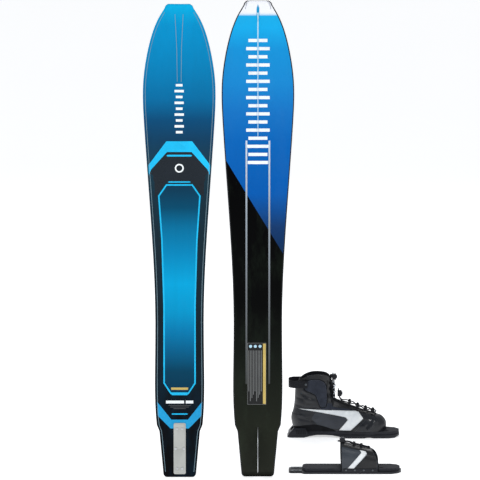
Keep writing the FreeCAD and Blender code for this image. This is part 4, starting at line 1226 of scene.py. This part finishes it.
def boot_patches():
    """The rand, the heel counter and the toe cap, which wrap round the foot of the upper."""
    rows = []
    for level in (24.3, 25.5, 28, 30.5, 32.5, 33.4):
        rows.append(boot_row(level, turns_over(160), 2.0 if level < 33 else 0.8))
    grid_piece("boot_rand", rows, PIPING, "boot_binding", False, 0.0012, -1.0)
    rows = []
    for step in range(20):
        level = 24.5 + 63 * step / 19
        reach = 0.31 - 0.10 * max(0.0, (level - 58) / 30) ** 1.2
        rows.append(boot_row(level, turns_over(40, reach), 0.6))
    counter = grid_piece("boot_heel_wrap", rows, UPPER, "boot_binding", False, 0.0014, 1.0)
    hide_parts("boot_heel_counter")
    for side, word in ((-1, "near"), (1, "far")):
        rows = []
        for step in range(26):
            level = 24.5 + 53 * step / 25
            first = 0.735 + 0.07 * (step / 25)
            rows.append(boot_row(level, [side * (first + (1 - first) * c / 16) for c in range(17)], 0.5))
        cap = grid_piece(f"boot_toe_wrap_{word}", rows, MESH, "boot_binding", False, 0.0016, 1.0)
        if side < 0:
            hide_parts("boot_toe_cap")


def threaded(rows, lock, drop, slope, crossing, nose, under=None):
    """A lace's route: over one side of each row, round the last, and back over the other.

    slope is half a row's run, crossing and under raise the lace between rows, nose is its turn at the end.
    """
    points = [(lock[0], -4, lock[1] + LACE_END), (lock[0], -4, lock[1] - drop)]
    hand = -1
    for number, (x, z) in enumerate(rows):
        points += [(x - slope[0], hand * LOOP_OUT, z + slope[1]), (x + slope[0], hand * LOOP_OUT, z - slope[1])]
        hand = -hand
        if under and number + 1 < len(rows):
            ahead = rows[number + 1]
            points.append(((x + ahead[0]) / 2 + under[0], 0, (z + ahead[1]) / 2 + under[1]))
    points.append((rows[-1][0] + nose[0], 0, rows[-1][1] - nose[1]))
    back = list(reversed(rows))
    for number, (x, z) in enumerate(back):
        points += [(x + slope[0], hand * LOOP_OUT, z - slope[1]), (x - slope[0], hand * LOOP_OUT, z + slope[1])]
        hand = -hand
        if number + 1 < len(back):
            ahead = back[number + 1]
            points.append(((x + ahead[0]) / 2 + crossing[0], 0, (z + ahead[1]) / 2 + crossing[1]))
    return points + [(lock[0], 4, lock[1] - drop), (lock[0], 4, lock[1] + LACE_END)]


UPPER_LOCK, LOWER_LOCK, LACE_END = (168, 222), (188, 160), 17
LOOP_OUT = 22  # how far the loops stand either side of the middle
UPPER_ROWS = (200, 178, 156)
LOWER_ROWS = ((226, 120.6), (256, 107), (285, 96.4), (312, 88.6))


def boot_laces():
    rows = [(x + 3.2, z + 7) for x, z in LOWER_ROWS]
    lower = threaded(rows, LOWER_LOCK, 24, (6.6, 2.8), (2.4, 5.4), (13, 2))
    rows = [(163.2 + (216 - z) * 0.044 + 5, z) for z in UPPER_ROWS]
    upper = threaded(rows, UPPER_LOCK, 15, (0, 7), (11, 0), (4, 11), (6, 0))
    for name, points, material, slot, radius in (
        ("boot_lower_lace", lower, LACE_DARK, "lace_black", 2.1),
        ("boot_upper_lace", upper, LACE_PALE, "lace_white", 1.7),
    ):
        cord = tube(name + "_braid", [boot_at(*p) for p in points], radius * MM, material, "boot_binding")
        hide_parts(name)


def make_boot():
    body = "boot_binding"
    upper = boot_upper()
    tree = tree_of(upper)
    boot_front(tree)
    boot_collar()
    boot_sides(tree)
    boot_patches()
    boot_laces()
    eased("boot_plate", body, CHASSIS, 0.0016, 3)
    eased("boot_footbed", body, FOOTBED, 0.0025, 4)
    cage = tree_of(eased("boot_heel_cage", body, CHASSIS, 0.0012, 3))
    ribs = []
    for hand, word in ((-1, "near"), (1, "far")):
        for number in range(9):
            x = 34 + number * 6.2
            where = in_scene(BOOT_X, [(x, 14.5), (x + 2.6, 14.5), (x + 0.6, 31), (x - 2.0, 31)])
            name = f"boot_cage_rib_{word}_{number}"
            ribs.append(inlay(name, where, cage, hand, PIPING, body, 0.0004, 0.0014, 0.01))
    joined("boot_cage_ribs", ribs)
    eased("boot_lace_loops", body, WEBBING, 0.0007, 2)
    eased("boot_plate_screws", body, STEEL, 0.0005, 2)
    eased("boot_loop_rivets", body, FIN_BOX, 0.0006, 3)
    eased("boot_pull_loop", "boot_pull_loop", WEBBING, 0.0009, 3)
    for part in ("upper", "lower"):
        eased(f"boot_{part}_cord_lock", f"boot_{part}_lock", LOCK, 0.0012, 3)
        eased(f"boot_{part}_lock_button", f"boot_{part}_button", BUTTON, 0.0008, 3)


make_boot()


# ---- the toe binding -----------------------------------------------------------------------

def toe_at(x, y, z):
    return Vector((TOE_X + x * MM, TOE_Y + y * MM, z * MM))


def gaiter_top(x):
    return 108 - 32 * (x - 190) / 133


def gaiter_point(along, around, lift=0.0):
    """A point on the gaiter. along runs 0 to 1 from back to front, around -1 to 1 over the top."""
    power = 2 / 2.3  # of the crown's rounded section

    def spot(share, turn):
        side = abs(turn)
        foot, half = 9.0, 47.0
        rear = 190 - 2.2 * math.sin(math.pi * min(1.0, side * 1.1))
        high = (1 - side) if side < 1 else 0
        front = 321 - 20 * blend_step(0.30, 1.0, high)
        x = rear + (front - rear) * share
        top = gaiter_top(x)
        knee = foot + (top - foot) * 0.45
        if side > 0.62:
            z = foot + (knee - foot) * (1 - side) / 0.38
            y = half
        else:
            angle = (1 - side / 0.62) * math.pi / 2
            y = half * abs(math.cos(angle)) ** power
            z = knee + (top - knee) * abs(math.sin(angle)) ** power
        over = min(1.0, max(0.0, (0.85 - side) / 0.6))
        sag = 1.6 * math.exp(-((share - 0.42) / 0.2) ** 2) * math.sin(math.pi * over)
        return np.array([x, math.copysign(y - max(0.0, sag), turn), z])

    here = spot(along, around)
    if lift:
        run = spot(min(1, along + 0.01), around) - spot(max(0, along - 0.01), around)
        turn = spot(along, min(1, around + 0.01)) - spot(along, max(-1, around - 0.01))
        normal = np.cross(turn, run)
        size = np.linalg.norm(normal)
        if size > 1e-6:
            normal /= size
            outwards = np.array([0, here[1], here[2] - 40])
            here = here + normal * lift * (1 if normal @ outwards >= 0 else -1)
    return toe_at(*here)


TOE_STRIPE = [(253, 89), (261, 76), (212, 20.5), (234, 20.5), (281, 72), (273, 83.5)]
TOE_FRONT = [(237, 20.5), (284, 71), (276, 84), (300, 77), (312, 60), (317, 40), (318, 20.5)]


def make_toe():
    body = "toe_binding"
    eased("toe_plate", body, CHASSIS, 0.0016, 3)
    eased("toe_footbed", body, FOOTBED, 0.0025, 4)
    eased("toe_slot_plates", body, FIN_BOX, 0.0005, 2)
    eased("toe_side_rails", body, CHASSIS, 0.0009, 3)
    eased("toe_rail_screws", body, FIN_BOX, 0.0005, 2)
    eased("toe_lace_loops", body, WEBBING, 0.0007, 2)
    eased("toe_front_hook", body, LOCK, 0.0009, 3)
    eased("toe_cord_lock", "toe_lock", LOCK, 0.0012, 3)
    eased("toe_lock_button", "toe_button", BUTTON, 0.0008, 3)

    rows = [[gaiter_point(c / 44, turn) for c in range(45)] for turn in turns_over(96)]
    skin = grid_piece("toe_gaiter_skin", rows, GAITER, body)
    tree = tree_of(skin)
    thickened(skin, 0.0034, -1.0)
    outward(skin.data)
    sharp_shaded(skin, 60)
    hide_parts("toe_gaiter")

    # the bound edges at the back and the front
    for share, word, wide in ((0.0, "rear", 2.4), (1.0, "front", 2.3)):
        path = [gaiter_point(share, turn, -1.6) for turn in turns_over(90, 0.99)]
        tube(f"toe_binding_{word}", path, wide * MM, PIPING, body, 2)

    # a dark reinforcement down the crown, under the laces, and over the front
    crown = []
    for turn in [-0.26 + 0.52 * i / 20 for i in range(21)]:
        crown.append([gaiter_point(0.03 + 0.94 * c / 40, turn, 0.35) for c in range(41)])
    grid_piece("toe_crown_band", crown, UPPER_DARK, body, False, 0.0016, 1.0)

    stripe = rounded(TOE_STRIPE, 1.5, 3)
    stripe_flat, front_flat = in_scene(TOE_X, stripe), in_scene(TOE_X, rounded(TOE_FRONT, 2, 3))
    for hand, word in ((-1, "near"), (1, "far")):
        name = f"toe_stripe_{word}"
        mark = inlay(name, stripe_flat, tree, hand, WHITE, body, 0.0006, 0.0012, 0.004)
        name = f"toe_front_panel_{word}"
        inlay(name, front_flat, tree, hand, UPPER_DARK, body, 0.0004, 0.0010, 0.004)
        if hand < 0:
            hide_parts("toe_gaiter_stripes")
        line, ground = inset_outline(stripe, 2.0), tree_of(mark)
        stitches(f"toe_stitch_stripe_{word}", line, toe_at, ground, hand, body, material=THREAD_PALE)
        for name, line in (("rear", [(197, 24), (197, 60), (198, 88)]), ("foot", [(200, 24), (214, 24)])):
            stitches(f"toe_stitch_{name}_{word}", line, toe_at, tree, hand, body, closed=False)

    lace = [(176, -4, 112), (214, -4, 112)]
    for x in (234, 260):
        top = gaiter_top(x)
        lace += [(x - 4, -9, top + 6.2), (x + 6.5, -9, top + 3.6)]
    lace += [(281, -6.5, gaiter_top(281) + 5), (293, -4, gaiter_top(293) + 5)]
    lace += [(x, -y, z) for x, y, z in reversed(lace)]
    cord = tube("toe_lace_braid", [toe_at(*p) for p in lace], 2.0 * MM, LACE_DARK, body)
    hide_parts("toe_lace")


make_toe()


# ---- the stage and the camera --------------------------------------------------------------


def make_stage():
    """A pale floor that glows a little, like a light table, in soft studio light."""
    half = 60.0
    corners = [(-half, -half, 0), (half, -half, 0), (half, half, 0), (-half, half, 0)]
    floor = bpy.data.objects.new("floor", mesh_from("floor", corners, [(0, 1, 2, 3)]))
    bpy.context.scene.collection.objects.link(floor)
    paper = Surface("paper", 0.9, specular=0.1)
    paper.worn((0.93, 0.93, 0.93, 1), 0.01, 0.5)
    paper.shader.inputs["Emission Color"].default_value = (1, 1, 1, 1)
    paper.shader.inputs["Emission Strength"].default_value = 0.56
    floor.data.materials.append(paper.material)
    world = bpy.data.worlds.new("studio")
    world.use_nodes = True
    tree = world.node_tree
    seen = tree.nodes["Background"]
    seen.inputs[0].default_value = (1, 1, 1, 1)
    lit = tree.nodes.new("ShaderNodeBackground")
    lit.inputs[0].default_value = (0.93, 0.96, 1, 1)
    lit.inputs[1].default_value = 0.46
    path, mix = tree.nodes.new("ShaderNodeLightPath"), tree.nodes.new("ShaderNodeMixShader")
    tree.links.new(path.outputs["Is Camera Ray"], mix.inputs[0])
    tree.links.new(lit.outputs[0], mix.inputs[1])
    tree.links.new(seen.outputs[0], mix.inputs[2])
    tree.links.new(mix.outputs[0], tree.nodes["World Output"].inputs["Surface"])
    bpy.context.scene.world = world
    bpy.context.scene.view_settings.view_transform = "Standard"

    def light(name, spot, aim, energy, width):
        data = bpy.data.lights.new(name, "AREA")
        data.energy, data.size = energy, width
        lamp = bpy.data.objects.new(name, data)
        lamp.location = spot
        lamp.rotation_euler = (Vector(aim) - Vector(spot)).to_track_quat("-Z", "Y").to_euler()
        bpy.context.scene.collection.objects.link(lamp)

    light("key", (-2.5, -3.0, 3.6), (0.3, 0.2, 0.7), 60, 1.3)
    light("kicker", (3.0, -3.5, 4.0), (0.5, 0.5, 0.1), 38, 0.8)
    light("fill", (3.4, -3.0, 2.2), (0.5, 0.3, 0.4), 18, 2.5)
    light("rim", (0.8, 3.2, 3.0), (0.5, 0.4, 0.3), 45, 2.0)


def make_camera():
    """A long lens, a little above level."""
    distance, rise = 30.0, math.radians(10.8)
    aim = Vector((0.217, 0.0, 0.8650))
    spot = aim + Vector((0, -math.cos(rise), math.sin(rise))) * distance
    data = bpy.data.cameras.new("camera")
    data.sensor_width, data.clip_end = 36.0, 200.0
    data.lens = 627.8
    camera = bpy.data.objects.new("camera", data)
    camera.location = spot
    camera.rotation_euler = (aim - spot).to_track_quat("-Z", "Y").to_euler()
    bpy.context.scene.collection.objects.link(camera)
    bpy.context.scene.camera = camera


make_stage()
make_camera()
